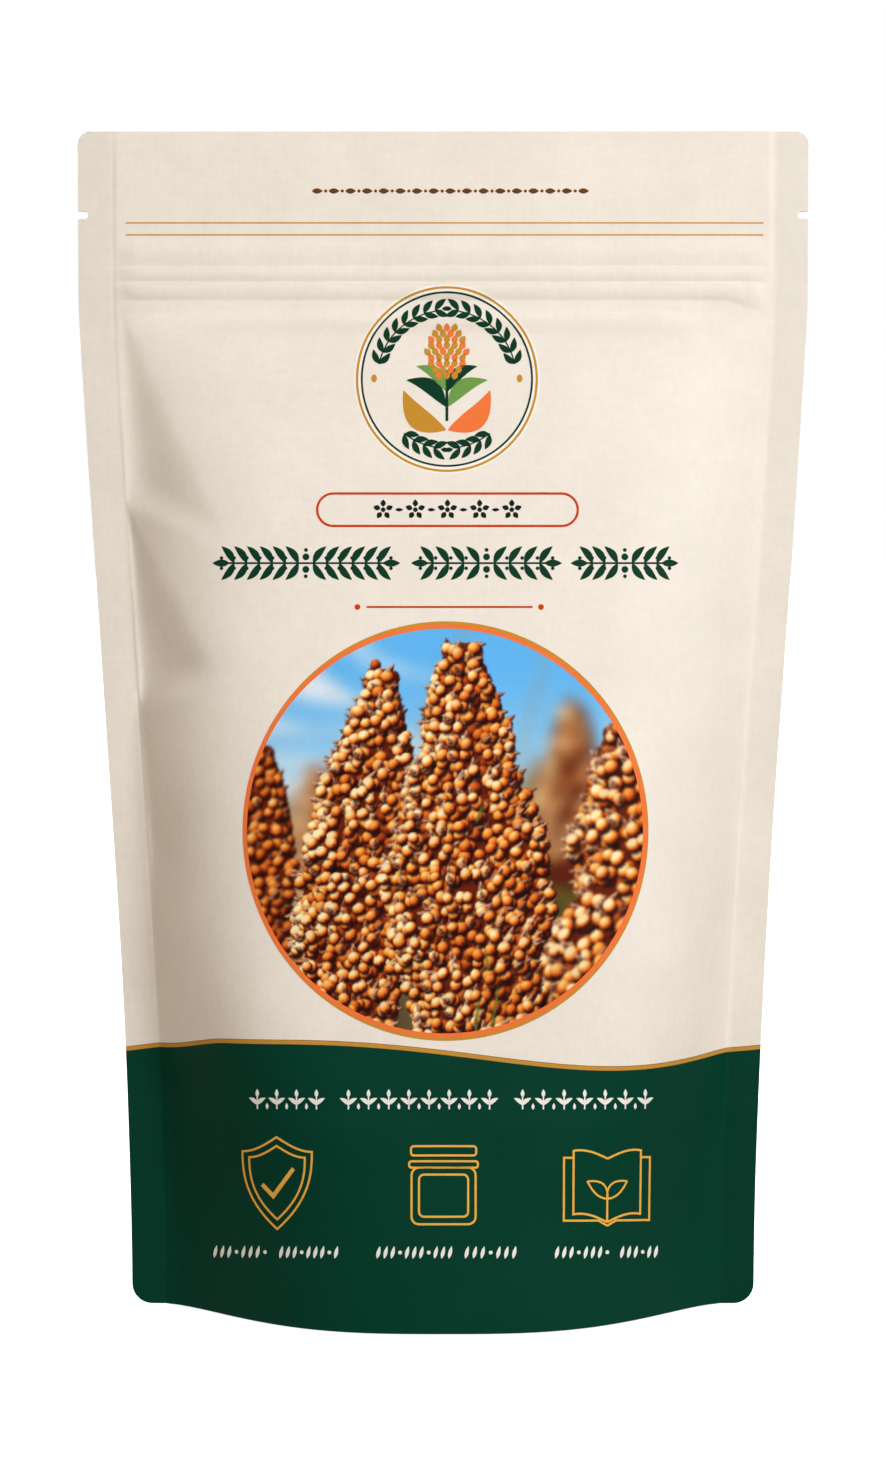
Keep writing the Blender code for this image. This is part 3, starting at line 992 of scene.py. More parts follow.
@dataclass(frozen=True)
class BottomGusset:
    """The web folded up between the front and the back, which opens into the foot."""

    shape: PouchShape
    film: float = 0.12
    skirt_seal: float = 5.0
    edge_inset: float = 0.4
    clearance: float = 0.35
    floor_flat_share: float = 0.45
    floor_flat_u: float = 0.5
    fold_half_gap: float = 0.14
    foot_z: float = 0.5
    columns: int = 121
    skirt_rows: int = 22
    floor_rows: int = 30

    def skirt_height(self, column: Array) -> Array:
        """Works out where the gusset leaves the panels: low in the middle, up as u^3 at the sides."""
        u = np.minimum(np.abs(column), 1.0)
        return self.skirt_seal + (self.shape.gusset_leg - self.skirt_seal) * u**3

    def fold_height(self, column: Array) -> Array:
        """Works out the middle fold's height: on the ground in the middle, rising as u^2.2 outside it."""
        u = np.clip((np.abs(column) - self.floor_flat_u) / (1 - self.floor_flat_u), 0.0, 1.0)
        return self.shape.gusset_leg * u**2.2

    def reach(self, column: Array, x: Array, z: Array) -> Array:
        """Works out how far from Y = 0 the film lies against a panel."""
        inside = self.clearance * smoothstep((1 - np.abs(column)) / 0.12)
        return self.fold_half_gap + np.maximum(self.shape.swell(x, z) - inside, 0)

    def build(self, material: bpy.types.Material) -> bpy.types.Object:
        """Builds the gusset from its front seal, over its floor and fold, to its back seal.

        Args:
            material: the green film.

        Returns:
            The piece.
        """
        shape = self.shape
        column = np.linspace(-2, 2, self.columns)[None, :]
        column = np.sign(column) * np.abs(column) ** np.where(np.abs(column) < 1, 0.8, 1.0)
        top = self.skirt_height(column)
        skirt_z = self.foot_z + (top - self.foot_z) * np.linspace(0, 1, self.skirt_rows)[:, None]
        wide = np.broadcast_to(column, skirt_z.shape)
        skirt_x = shape.across(wide, skirt_z, self.edge_inset)
        skirt_y = self.reach(wide, skirt_x, skirt_z)
        share = 1 - np.linspace(0, 1, self.floor_rows)[1:, None]
        bend = np.clip((share - self.floor_flat_share) / (1 - self.floor_flat_share), 0, 1)
        fold = self.fold_height(column)
        floor_z = fold + (top - fold) * bend**1.7
        floor_z = floor_z + self.fold_half_gap * np.sqrt(1 - share**2) * np.minimum(np.abs(column), 2)
        floor_z = np.maximum(floor_z, self.film / 2)
        level = np.broadcast_to(top, floor_z.shape)
        wide = np.broadcast_to(column, floor_z.shape)
        floor_x = shape.across(wide, level, self.edge_inset)
        floor_y = self.reach(wide, floor_x, level) * share
        half_x, half_y = np.concatenate([skirt_x, floor_x]), np.concatenate([skirt_y, floor_y])
        half_z = np.concatenate([skirt_z, floor_z])
        x, z = (np.concatenate([half, half[-2::-1]]) for half in (half_x, half_z))
        y = np.concatenate([-half_y, half_y[-2::-1]]) + shape.seal_line(x, z)
        middle = np.stack([x, y, z], axis=-1)
        down, right = np.gradient(middle, axis=0), np.gradient(middle, axis=1)
        normal = np.cross(down, right)
        normal /= np.maximum(np.linalg.norm(normal, axis=-1, keepdims=True), 1e-9)
        lower, upper = middle - normal * self.film / 2, middle + normal * self.film / 2
        parts = MeshParts()
        parts.add_slab(upper[::-1], lower[::-1])
        mesh = parts.mesh("bottom_gusset_film")
        piece = show(mesh, material)
        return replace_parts(piece, "bottom_gusset")


@dataclass(frozen=True)
class ZipStrip:
    """One half of the press-to-close zip, which lies against the inside of its film."""

    face: FilmFace
    end_x: float = 64.4
    inner: float = 0.02
    clearance: float = 0.02
    columns: int = 133
    rows: int = 45

    def build(self, name: str, node_name: str, material: bpy.types.Material) -> bpy.types.Object:
        """Builds the strip: flat where the halves meet, and with the tracks' beads against the film.

        Args:
            name: the piece's name.
            node_name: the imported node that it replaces.
            material: the zip's plastic.

        Returns:
            The piece.
        """
        shape, side = self.face.shape, self.face.side.value
        line = np.linspace(-self.end_x, self.end_x, self.columns)
        x, z = np.meshgrid(line, np.linspace(shape.zip_band.low, shape.zip_band.high, self.rows))
        if self.face.side is Side.BACK:
            x = x[:, ::-1]
        seals = shape.seal_line(x, z)
        reach = shape.film_gap - self.clearance + shape.zip_band.stand_off(x, z) * 0.9
        outer = np.stack([x, seals + side * reach, z], axis=-1)
        inner = np.stack([x, seals + side * self.inner, z], axis=-1)
        parts = MeshParts()
        parts.add_slab(outer, inner, thin=2)
        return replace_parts(show(parts.mesh(name), material), node_name)


# ---- Printed shapes, drawn flat: grids and paths of X and Z in millimetres


def moved(points: Array, centre: Place, turn: float = 0.0, size: float = 1.0) -> Array:
    """Sizes points, turns them anticlockwise and moves them.

    Args:
        points: an array whose last axis holds X and Z.
        centre: where the origin goes.
        turn: the turn in degrees.
        size: the scale.

    Returns:
        The moved points.
    """
    c, s = math.cos(math.radians(turn)) * size, math.sin(math.radians(turn)) * size
    x, z = points[..., 0], points[..., 1]
    return np.stack([centre[0] + c * x - s * z, centre[1] + s * x + c * z], axis=-1)


def disc(centre: Place, half_x: float, half_z: float, cells: int = 8) -> Array:
    """Spreads a square grid over an ellipse: x = a sqrt(1 - b^2 / 2) and z = b sqrt(1 - a^2 / 2).

    Args:
        centre: its middle.
        half_x: half of its width.
        half_z: half of its height.
        cells: cells along each side of the grid.

    Returns:
        The grid.
    """
    a, b = np.meshgrid(np.linspace(-1, 1, cells + 1), np.linspace(-1, 1, cells + 1))
    x, z = a * np.sqrt(1 - b**2 / 2), b * np.sqrt(1 - a**2 / 2)
    return np.stack([centre[0] + half_x * x, centre[1] + half_z * z], axis=-1)


def leaf(
    root: Place, length: float, width: float, turn: float, bend: float = 0.0, cells: int = 10
) -> Array:
    """Draws a leaf or a seed from its root: a spine that bows, with a width of (1 - a^2) across it.

    Args:
        root: where the leaf starts.
        length: its length.
        width: its greatest width.
        turn: the way that it points, in degrees.
        bend: how far the middle of the spine bows to its left, as a share of the length.
        cells: cells along it.

    Returns:
        The leaf's grid, with blunt ends so that no point is shared.
    """
    a = np.linspace(-1, 1, cells + 1)[None, :]
    b = np.linspace(-1, 1, 5)[:, None]
    across = b * width / 2 * (0.94 * (1 - a**2) * (1 - 0.18 * a) + 0.06)
    along = np.broadcast_to((a + 1) / 2 * length, across.shape)
    return moved(np.stack([along, across + bend * length * (1 - a**2)], axis=-1), root, turn)


def arc(centre: Place, radius: float, start: float, end: float, step: float = 0.5) -> Array:
    """Gives the points of an arc: the centre plus radius times (cos, sin) of an even run of angles.

    Args:
        centre: its middle.
        radius: its radius.
        start: the angle in degrees where it starts, anticlockwise from +X.
        end: the angle where it ends.
        step: the distance between points.

    Returns:
        The path.
    """
    count = max(int(abs(math.radians(end - start)) * radius / step), 8)
    angle = np.radians(np.linspace(start, end, count + 1))
    return np.stack([centre[0] + radius * np.cos(angle), centre[1] + radius * np.sin(angle)], axis=-1)


def circle(centre: Place, half_x: float, half_z: float, step: float = 0.5) -> Array:
    """Gives the points of a whole ellipse, whose last point isn't its first.

    Args:
        centre: its middle.
        half_x: half of its width.
        half_z: half of its height.
        step: the distance between points.

    Returns:
        The path.
    """
    count = int(2 * math.pi * max(half_x, half_z) / step)
    angle = np.linspace(0, 2 * math.pi, max(count, 16), endpoint=False)
    return np.stack([centre[0] + half_x * np.cos(angle), centre[1] + half_z * np.sin(angle)], axis=-1)


def refined(corners: Array, closed: bool = False, step: float = 0.5) -> Array:
    """Adds points along straight sides, so that no two are further apart than the step.

    Args:
        corners: the path's corners.
        closed: whether a side joins the last corner to the first.
        step: the greatest distance between points.

    Returns:
        The finer path.
    """
    corners = np.asarray(corners, float)
    ends = np.concatenate([corners, corners[:1]]) if closed else corners
    pieces = []
    for start, end in zip(ends[:-1], ends[1:]):
        count = max(int(math.ceil(np.linalg.norm(end - start) / step)), 1)
        pieces.append(start + (end - start) * (np.arange(count) / count)[:, None])
    if not closed:
        pieces.append(ends[-1:])
    return np.concatenate(pieces)


def ribbon(path: Array, width: float, closed: bool = False) -> Array:
    """Gives a path a width: each point moves half of it to both sides, along the mitre of its corner.

    Args:
        path: the middle line's points.
        width: the line's width.
        closed: whether the path closes on itself.

    Returns:
        A grid of two rows.
    """
    before = path - np.roll(path, 1, axis=0)
    after = np.roll(path, -1, axis=0) - path
    if not closed:
        before[0], after[-1] = after[0], before[-1]
    before /= np.linalg.norm(before, axis=1, keepdims=True)
    after /= np.linalg.norm(after, axis=1, keepdims=True)
    along = before + after
    along /= np.linalg.norm(along, axis=1, keepdims=True)
    left = np.stack([-along[:, 1], along[:, 0]], axis=-1)
    mitre = 1 / np.maximum((along * after).sum(axis=1), 0.45)
    offset = left * (mitre * width / 2)[:, None]
    return np.stack([path - offset, path + offset])


@dataclass(frozen=True)
class Artwork:
    """How flat artwork is laid on a film face.

    The artwork is drawn as it looks from straight in front at arm's length. There the swollen film's
    sides seem to climb below eye level, so the print is laid lower there by the same amount.
    """

    face: FilmFace
    eye_z: float = 103.15
    eye_distance: float = 690.0
    spread: float = 0.989
    eye_rise: float = 0.0436
    under: float = 0.03

    def lay(self, grid: Array) -> tuple[Array, Array]:
        """Finds X and Z on the film for drawn points.

        Z falls by (rise + (eye height - Z) / distance) times how much less the film swells there
        than up its middle.

        Args:
            grid: drawn X and Z.

        Returns:
            X and Z on the film.
        """
        x, z = self.spread * grid[..., 0], grid[..., 1]
        shape = self.face.shape
        lean = self.eye_rise + (self.eye_z - z) / self.eye_distance
        return x, z - lean * (shape.swell(np.zeros_like(x), z) - shape.swell(x, z))

    def points(self, grid: Array, lift: float) -> Array:
        """Puts drawn points a small lift off the film's outer face."""
        x, z = self.lay(grid)
        return np.stack([x, self.face.outer_y(x, z) + self.face.side.value * lift, z], axis=-1)


@dataclass
class Impression:
    """The shapes of one ink, which become one thin closed piece on the film."""

    name: str
    artwork: Artwork
    lift: float
    parts: MeshParts = field(default_factory=MeshParts)

    def area(self, grid: Array, closed: bool = False) -> None:
        """Adds a filled shape given as a grid."""
        inner = self.artwork.points(grid, -self.artwork.under)
        self.parts.add_slab(self.artwork.points(grid, self.lift), inner, closed)

    def line(self, path: Array, width: float, closed: bool = False) -> None:
        """Adds a line of a width along a path."""
        self.area(ribbon(refined(path, closed), width, closed), closed)

    def show(self, material: bpy.types.Material) -> bpy.types.Object:
        """Makes the piece."""
        return show(self.parts.mesh(self.name), material)


# ---- What is printed


@dataclass(frozen=True)
class Friezes:
    """Rows of small seeds, leaves and sprouts, which fill the lines of the label."""

    caption_ends: Place = (-22.6, 25.3)
    caption_z: float = 199.45
    caption_seeds: int = 17
    title_groups: tuple[Place, ...] = ((-40.9, -7.6), (-5.6, 21.0), (22.6, 41.8))
    title_z: float = 133.3
    title_leaf: tuple[float, float] = (3.7, 1.25)
    slogan_groups: tuple[Place, ...] = ((-34.5, -20.4), (-18.3, 9.9), (12.1, 37.6))
    slogan_z: float = 38.8
    sprout_pitch: float = 3.3
    foot_groups: tuple[Place, ...] = (
        *((-41.6, -30.9), (-29.2, -18.1), (-11.9, 1.9)),
        *((3.5, 13.2), (19.4, 29.7), (31.2, 38.8)),
    )
    foot_z: float = 14.2
    foot_pitch: float = 1.22

    def caption(self, print_: Impression) -> None:
        """Draws the row under the top edge: lying seeds with dots between them.

        Args:
            print_: the ink's impression.
        """
        places = np.linspace(*self.caption_ends, self.caption_seeds)
        for x in places:
            print_.area(leaf((x - 0.95, self.caption_z), 1.9, 0.95, 0.0))
        for x in (places[:-1] + places[1:]) / 2:
            print_.area(disc((x, self.caption_z), 0.28, 0.28, 4))

    def title(self, print_: Impression) -> None:
        """Draws the garland: three sprays, each a stem with leaves in pairs that lean away from its middle.

        Args:
            print_: the ink's impression.
        """
        z = self.title_z
        for start, end in self.title_groups:
            middle, reach = (start + end) / 2, (end - start) / 2
            print_.line(np.array([[start + 2.2, z], [end - 2.2, z]]), 0.34)
            pairs = int((reach - 4.0) / 2.5) + 1
            pitch = (reach - 5.2) / max(pairs - 1, 1)
            for side in (-1, 1):
                tip = 0 if side > 0 else 180
                print_.area(leaf((middle + side * (reach - 3.0), z), 3.0, 1.25, tip))
                for k in range(pairs):
                    x = middle + side * (reach - 3.9 - pitch * k)
                    for up in (-1, 1):
                        turn = tip + side * up * 52
                        print_.area(leaf((x, z), *self.title_leaf, turn, side * up * 0.08))
                        print_.area(disc((x + side * 2.3, z + up * 0.9), 0.32, 0.32, 4))
            for up in (-1, 1):
                print_.area(disc((middle, z + up * 1.1), 0.6, 0.6, 6))
                print_.area(disc((middle, z + up * 2.3), 0.34, 0.34, 4))

    def slogan(self, print_: Impression) -> None:
        """Draws the row of sprouts: a stem, two leaves and a bud each, with a seed between them.

        Args:
            print_: the ink's impression.
        """
        z = self.slogan_z
        for start, end in self.slogan_groups:
            count = max(int((end - start) / self.sprout_pitch), 1)
            pitch = (end - start) / count
            for k in range(count):
                x = start + pitch * (k + 0.5)
                print_.line(np.array([[x, z + 0.15], [x, z + 2.5]]), 0.26)
                print_.area(leaf((x, z + 2.2), 1.4, 0.66, 90))
                for side in (-1, 1):
                    print_.area(leaf((x, z + 0.9), 1.9, 0.72, 90 - side * 52, side * 0.10))
            for k in range(1, count):
                print_.area(leaf((start + pitch * k, z + 0.1), 1.1, 0.52, 90))

    def feet(self, print_: Impression) -> None:
        """Draws the rows under the icons: slim seeds that all lean to the right, a dot after each third.

        Args:
            print_: the ink's impression.
        """
        for start, end in self.foot_groups:
            count = int((end - start) / self.foot_pitch)
            pitch = (end - start) / count
            for k in range(count):
                x = start + pitch * (k + 0.5)
                if k % 4 == 3:
                    print_.area(disc((x, self.foot_z), 0.34, 0.34, 4))
                else:
                    print_.area(leaf((x - 0.28, self.foot_z - 1.05), 2.2, 0.66, 76))


@dataclass(frozen=True)
class Medallion:
    """The round mark: two rings, a wreath, and a grain head between long leaves."""

    centre: Place = (0.7, 165.9)
    gold_radius: float = 16.05
    green_radius: float = 15.2
    wreath_radius: float = 12.4
    tallness: float = 1.022
    step: float = 0.25
    grain_rows: int = 9
    grain_pitch: float = 1.3
    row_pitch: float = 1.08

    def at(self, angle: float, radius: float) -> Place:
        """Gives a place by its angle and its distance, with Z stretched by the tallness.

        Args:
            angle: degrees anticlockwise from +X.
            radius: the distance from the middle.

        Returns:
            The place.
        """
        turn = math.radians(angle)
        rise = radius * self.tallness
        return self.centre[0] + radius * math.cos(turn), self.centre[1] + rise * math.sin(turn)

    def ring(self, print_: Impression, radius: float, width: float) -> None:
        """Adds a ring, in steps short enough to follow the zip's beads under it."""
        path = circle(self.centre, radius, radius * self.tallness, self.step)
        print_.area(ribbon(path, width, True), True)

    def pale_ring(self, print_: Impression) -> None:
        """Draws the white ring between the gold and the green ones and just outside them.

        It is four narrow ribbons side by side, so that each lies close to the film.

        Args:
            print_: the ink's impression.
        """
        for place in (-0.42, -0.14, 0.14, 0.42):
            self.ring(print_, self.gold_radius - 0.05 + place, 0.29)

    def wreath(self, print_: Impression) -> None:
        """Draws two sprays that climb the sides and meet at the top, and two that meet at the foot.

        Each is a stem along an arc with leaves in pairs that lean out from it, and one leaf at its tip.

        Args:
            print_: the ink's impression.
        """
        sprays = ((168.0, 94.0, 8), (12.0, 86.0, 8), (232.0, 265.0, 4), (308.0, 275.0, 4))
        for start, end, count in sprays:
            way = 1.0 if end > start else -1.0
            print_.area(ribbon(arc(self.centre, self.wreath_radius, start, end, self.step), 0.24))
            for angle in np.linspace(start, end - way * 6, count):
                root = self.at(angle, self.wreath_radius)
                ahead = angle + way * 90
                for spread in (-34, 34):
                    print_.area(leaf(root, 2.75, 1.12, ahead + spread, math.copysign(0.06, spread), 14))
            tip = self.at(end, self.wreath_radius)
            print_.area(leaf(tip, 1.6, 0.8, end + way * 90, 0.0, 10))

    def blades(self, print_: Impression, side: int) -> None:
        """Draws a long blade that leans to one side, and above it a shorter one that leans to the other.

        Args:
            print_: the ink's impression.
            side: -1 for a long blade to the left, 1 for one to the right.
        """
        x, z = self.centre
        print_.area(leaf((x + side * 0.2, z - 5.0), 8.4, 2.7, 90 - side * 56, side * 0.17, 16))
        print_.area(leaf((x - side * 0.2, z - 2.2), 6.8, 2.2, 90 + side * 50, -side * 0.18, 16))

    def green(self, print_: Impression) -> None:
        """Draws the inner ring, the wreath, the stem and two of the long leaves.

        Args:
            print_: the ink's impression.
        """
        self.ring(print_, self.green_radius, 0.34)
        self.wreath(print_)
        x, z = self.centre
        print_.line(np.array([[x, z - 7.6], [x, z + 1.5]]), 0.5)
        self.blades(print_, -1)

    def pale_green(self, print_: Impression) -> None:
        """Draws the other two long leaves."""
        self.blades(print_, 1)

    def grains(self, print_: Impression, side: int) -> None:
        """Draws one ink's grains of the head, and the large seed on its side.

        The head is rows of grains, as many as fit in a width that goes up it as a sine. Every third
        grain of a row is orange and the rest are gold.

        Args:
            print_: the ink's impression.
            side: -1 for gold, on the left, and 1 for orange.
        """
        x, z = self.centre
        for row in range(self.grain_rows):
            height = z - 0.2 + row * self.row_pitch
            wide = 3.7 * math.sin(math.pi * (row + 1.3) / (self.grain_rows + 1.6)) ** 0.8
            count = max(round(wide * 2 / self.grain_pitch), 1)
            for k in range(count):
                if ((row + k) % 3 == 0) == (side > 0):
                    place = (k - (count - 1) / 2) * self.grain_pitch
                    print_.area(leaf((x + place * 0.92, height), 1.6, 1.15, 90 - place * 12))
        print_.area(leaf((x + side * 0.25, z - 9.2), 10.2, 3.9, 90 - side * 47, -side * 0.17, 20))

    def gold(self, print_: Impression) -> None:
        """Draws the outer ring, two side dots, and the gold grains and seed.

        Args:
            print_: the ink's impression.
        """
        self.ring(print_, self.gold_radius, 0.42)
        for side in (-1, 1):
            print_.area(disc((self.centre[0] + side * 13.0, self.centre[1]), 0.5, 0.7, 4))
        self.grains(print_, -1)

    def orange(self, print_: Impression) -> None:
        """Draws the orange grains and seed."""
        self.grains(print_, 1)


@dataclass(frozen=True)
class Icons:
    """Three line drawings on the green foot: a shield with a tick, a lidded jar and an open book."""

    line_width: float = 0.36
    shield_centre: Place = (-29.3, 26.2)
    book_centre: Place = (29.0, 25.7)

    def shield(self, print_: Impression) -> None:
        """Draws a shield twice, one inside the other, and a tick.

        From the point of the top edge to a shoulder it sinks as a quarter sine. Down to the foot it
        narrows as 1 - t^2.5, which leaves a point.

        Args:
            print_: the ink's impression.
        """
        s = np.linspace(0, 1, 12)
        top = np.stack([s * 6.3, 7.9 - 2.5 * np.sin(s * math.pi / 2)], axis=-1)
        down = np.linspace(0, 1, 26)[1:]
        side = np.stack([6.3 * (1 - down**2.5), 5.4 - 13.4 * down], axis=-1)
        right = np.concatenate([top, side])
        whole = np.concatenate([right, (right * (-1, 1))[-2:0:-1]])
        x, z = self.shield_centre
        for size in (1.0, 0.80):
            outline = moved(whole, (x, z + (1 - size) * 0.4), size=size)
            print_.line(outline, self.line_width, True)
        tick = np.array([[-2.7, -0.3], [-0.7, -2.3], [3.0, 2.5]]) + self.shield_centre
        print_.line(tick, 2 * self.line_width)

    @staticmethod
    def box(low: Place, high: Place, corner: float) -> Array:
        """Gives the path of a rectangle with round corners.

        Args:
            low: its lower left corner.
            high: its upper right corner.
            corner: the corners' radius.

        Returns:
            The path, anticlockwise.
        """
        middles = (
            (high[0] - corner, high[1] - corner, 0),
            (low[0] + corner, high[1] - corner, 90),
            (low[0] + corner, low[1] + corner, 180),
            (high[0] - corner, low[1] + corner, 270),
        )
        return np.concatenate([arc((x, z), corner, turn, turn + 90) for x, z, turn in middles])

    def jar(self, print_: Impression) -> None:
        """Draws the jar: a lid, a screw band, a body and its window.

        Args:
            print_: the ink's impression.
        """
        outlines = (
            ((-5.6, 31.0), (5.8, 32.6), 0.5),
            ((-5.9, 28.9), (6.1, 30.0), 0.4),
            ((-5.5, 19.1), (5.7, 28.9), 1.3),
            ((-4.2, 20.4), (4.4, 27.7), 0.9),
        )
        for low, high, corner in outlines:
            print_.line(self.box(low, high, corner), self.line_width, True)

    def book(self, print_: Impression) -> None:
        """Draws the open book: two pages bowed as part of a sine, the covers outside them, and a sprout.

        Args:
            print_: the ink's impression.
        """
        s, centre = np.linspace(0, 1, 14), self.book_centre
        bow = 1.5 * np.sin(s * math.pi * 0.62)
        cover = np.array([(6.1, 4.9), (7.8, 4.9), (7.8, -6.0), (1.6, -6.0), (0.0, -6.9)])
        for side in (-1, 1):
            top = np.stack([side * s * 6.1, 4.7 + bow], axis=-1)
            foot = np.stack([side * s[::-1] * 6.1, -6.3 + bow[::-1]], axis=-1)
            print_.line(moved(np.concatenate([top, foot]), centre), self.line_width)
            print_.line(moved(cover * (side, 1), centre), self.line_width)
            grid = leaf((0.0, -2.2), 4.6, 2.1, 90 - side * 50, side * 0.08, 12)
            outline = np.concatenate([grid[0], grid[-1, ::-1]])
            print_.line(moved(outline, centre), self.line_width * 0.9, True)
        stem = moved(np.array([(0.0, -6.1), (0.0, -2.2)]), centre)
        print_.line(stem, self.line_width)


@dataclass(frozen=True)
class SorghumHead:
    """One seed head of the picture, in millimetres from the picture's middle."""

    tip: Place
    foot: Place
    half_width: float
    fullest: float = 0.55
    waist: float = 0.0
    grain: float = 1.1
    light: float = 1.0

    waist_place: float = 0.27
    taper: float = 0.36
    taper_from: float = 0.60

    def half_width_at(self, share: Array) -> Array:
        """Works out the half width: a quarter sine from the tip, less a waist, then a slow taper.

        Args:
            share: shares of the way from the tip to the foot.

        Returns:
            The half width at each share, in millimetres.
        """
        rising = np.sin(np.clip(share / self.fullest, 0.08, 1) * math.pi / 2) ** 0.78
        waist = self.waist * np.exp(-(((share - self.waist_place) / 0.09) ** 2))
        tapered = 1 - self.taper * smoothstep((share - self.taper_from) / 0.36)
        return self.half_width * (rising - waist) * tapered


@dataclass(frozen=True)
class FieldPicture:
    """A picture of ripe sorghum heads against the sky, painted grain by grain."""

    artwork: Artwork
    centre: Place
    radius: float = 35.2
    margin: float = 1.0
    cells: int = 290
    dots_per_mm: float = 9.0
    seed: int = 7
    heads: tuple[SorghumHead, ...] = (
        SorghumHead((-10.9, 27.6), (-18.6, -45.0), 10.0, 0.55, light=1.06),
        SorghumHead((3.0, 32.2), (5.2, -44.0), 13.4, 0.54, 0.2, light=1.05),
    )
    side_heads: tuple[SorghumHead, ...] = (
        SorghumHead((-32.4, 14.0), (-34.0, -34.0), 6.0, 0.4, light=0.86),
        SorghumHead((31.0, 17.5), (34.0, -32.0), 9.0, 0.5, 0.0, 1.35, 1.12),
        SorghumHead((27.5, -11.0), (24.6, -46.0), 10.0, 0.4, 0.0, 1.45, 1.15),
    )
    far_heads: tuple[SorghumHead, ...] = (
        SorghumHead((22.6, 20.0), (21.4, -8.0), 5.6, 0.6, 0.2, 1.3, 1.35),
        SorghumHead((-22.5, 10.0), (-22.0, -30.0), 4.2, 0.4, 0.0, 1.2, 1.6),
    )
    far_blur: float = 1.2
    side_blur: float = 0.16
    ink_spread: float = 0.07
    to_sun: tuple[float, float, float] = (-0.42, 0.58, 0.64)
    husk_share: float = 0.5
    loose_husk_share: float = 0.16
    eye_share: float = 0.4
    sky_top: Colour = (0.38, 0.72, 0.96)
    sky_low: Colour = (0.66, 0.84, 0.94)
    cloud: Colour = (0.94, 0.95, 0.96)
    straw: Colour = (0.70, 0.54, 0.36)
    grass: Colour = (0.36, 0.42, 0.16)
    stalk_green: Colour = (0.36, 0.47, 0.18)
    stalks: tuple[tuple[float, ...], ...] = (
        (5.3, 0.10, -35.0, -28.5),
        (8.2, 0.16, -34.0, -26.0),
        (7.6, -0.12, -24.5, -20.0),
        (5.4, 0.35, 1.0, 5.5),
    )
    seed_stops: tuple[float, ...] = (0.0, 0.22, 0.48, 0.72, 0.90, 1.0)
    seed_ramp: tuple[tuple[float, ...], ...] = (
        (0.20, 0.54, 0.87, 0.98, 1.00, 1.00),
        (0.03, 0.17, 0.40, 0.63, 0.80, 0.91),
        (0.01, 0.03, 0.10, 0.25, 0.46, 0.70),
    )
    husk_ramp: tuple[tuple[float, ...], ...] = (
        (0.22, 0.38, 0.55, 0.70, 0.80, 0.86),
        (0.08, 0.17, 0.31, 0.47, 0.60, 0.69),
        (0.04, 0.10, 0.20, 0.34, 0.46, 0.56),
    )

    def places(self) -> tuple[Array, Array]:
        """Gives the canvas's dots.

        Returns:
            X and Z of each dot, in millimetres from the picture's middle.
        """
        reach = self.radius + self.margin
        count = int(2 * reach * self.dots_per_mm)
        line = (np.arange(count) + 0.5) / self.dots_per_mm - reach
        return np.meshgrid(line, line)

    def softened(self, canvas: Array, spread: float) -> Array:
        """Blurs a canvas: its spectrum is multiplied by a Gauss bell.

        Args:
            canvas: the canvas.
            spread: the blur's spread in millimetres.

        Returns:
            The blurred canvas.
        """
        count = canvas.shape[0]
        pad = int(3 * spread * self.dots_per_mm) + 1
        wide = np.pad(canvas, ((pad, pad), (pad, pad), (0, 0)), mode="edge")
        turns = np.fft.fftfreq(wide.shape[0])
        bell = np.exp(-2 * (math.pi * spread * self.dots_per_mm * turns) ** 2)
        spectrum = np.fft.fft2(wide, axes=(0, 1)) * (bell[:, None] * bell[None, :])[..., None]
        return np.fft.ifft2(spectrum, axes=(0, 1)).real[pad : pad + count, pad : pad + count]

    def backdrop(self) -> Array:
        """Paints the sky, deeper at the top and with soft clouds, and the field under it.

        Returns:
            The canvas, of shape (rows, columns, 3), in sRGB from 0 to 1.
        """
        x, z = self.places()
        colours = (self.sky_top, self.sky_low, self.cloud, self.straw, self.grass)
        sky_top, sky_low, cloud, straw, grass = (np.array(colour) for colour in colours)
        height = smoothstep((z - 4) / 26)[..., None]
        canvas = sky_low + (sky_top - sky_low) * height
        drift = RandomWaves(31, 12, 40, 1.0).at(x, z * 2.4)
        cover = smoothstep((drift + 0.3) / 1.3) * smoothstep((8 - x) / 26)
        canvas = canvas + (cloud - canvas) * (0.9 * cover)[..., None]
        blotches = smoothstep((RandomWaves(32, 4, 12, 1.0).at(x * 1.8, z) + 0.7) / 1.5)[..., None]
        blotches = blotches * smoothstep((4 - z) / 16)[..., None]
        greener = (0.5 + smoothstep((x - 8) / 10))[..., None]
        land = straw + (grass - straw) * np.clip(blotches * greener, 0, 1)
        land = land * (1 - 0.4 * smoothstep((-8 - z) / 26))[..., None]
        land = land * (1 - smoothstep((x - 8) / 10)[..., None] * np.array([0.26, 0.30, 0.50]))
        horizon = 12.0 + 2.5 * RandomWaves(33, 6, 14, 1.0).at(x, 0 * z)
        canvas = canvas + (land - canvas) * smoothstep((horizon - z) / 7)[..., None]
        for start, lean, low in ((-3.0, 0.45, 8.0), (15.0, 0.30, 4.0)):
            stalk = np.exp(-(((x - start - (z - 20) * lean) / 0.5) ** 2)) * smoothstep((z - low) / 6)
            canvas = canvas + (straw - canvas) * (0.5 * stalk)[..., None]
        return canvas

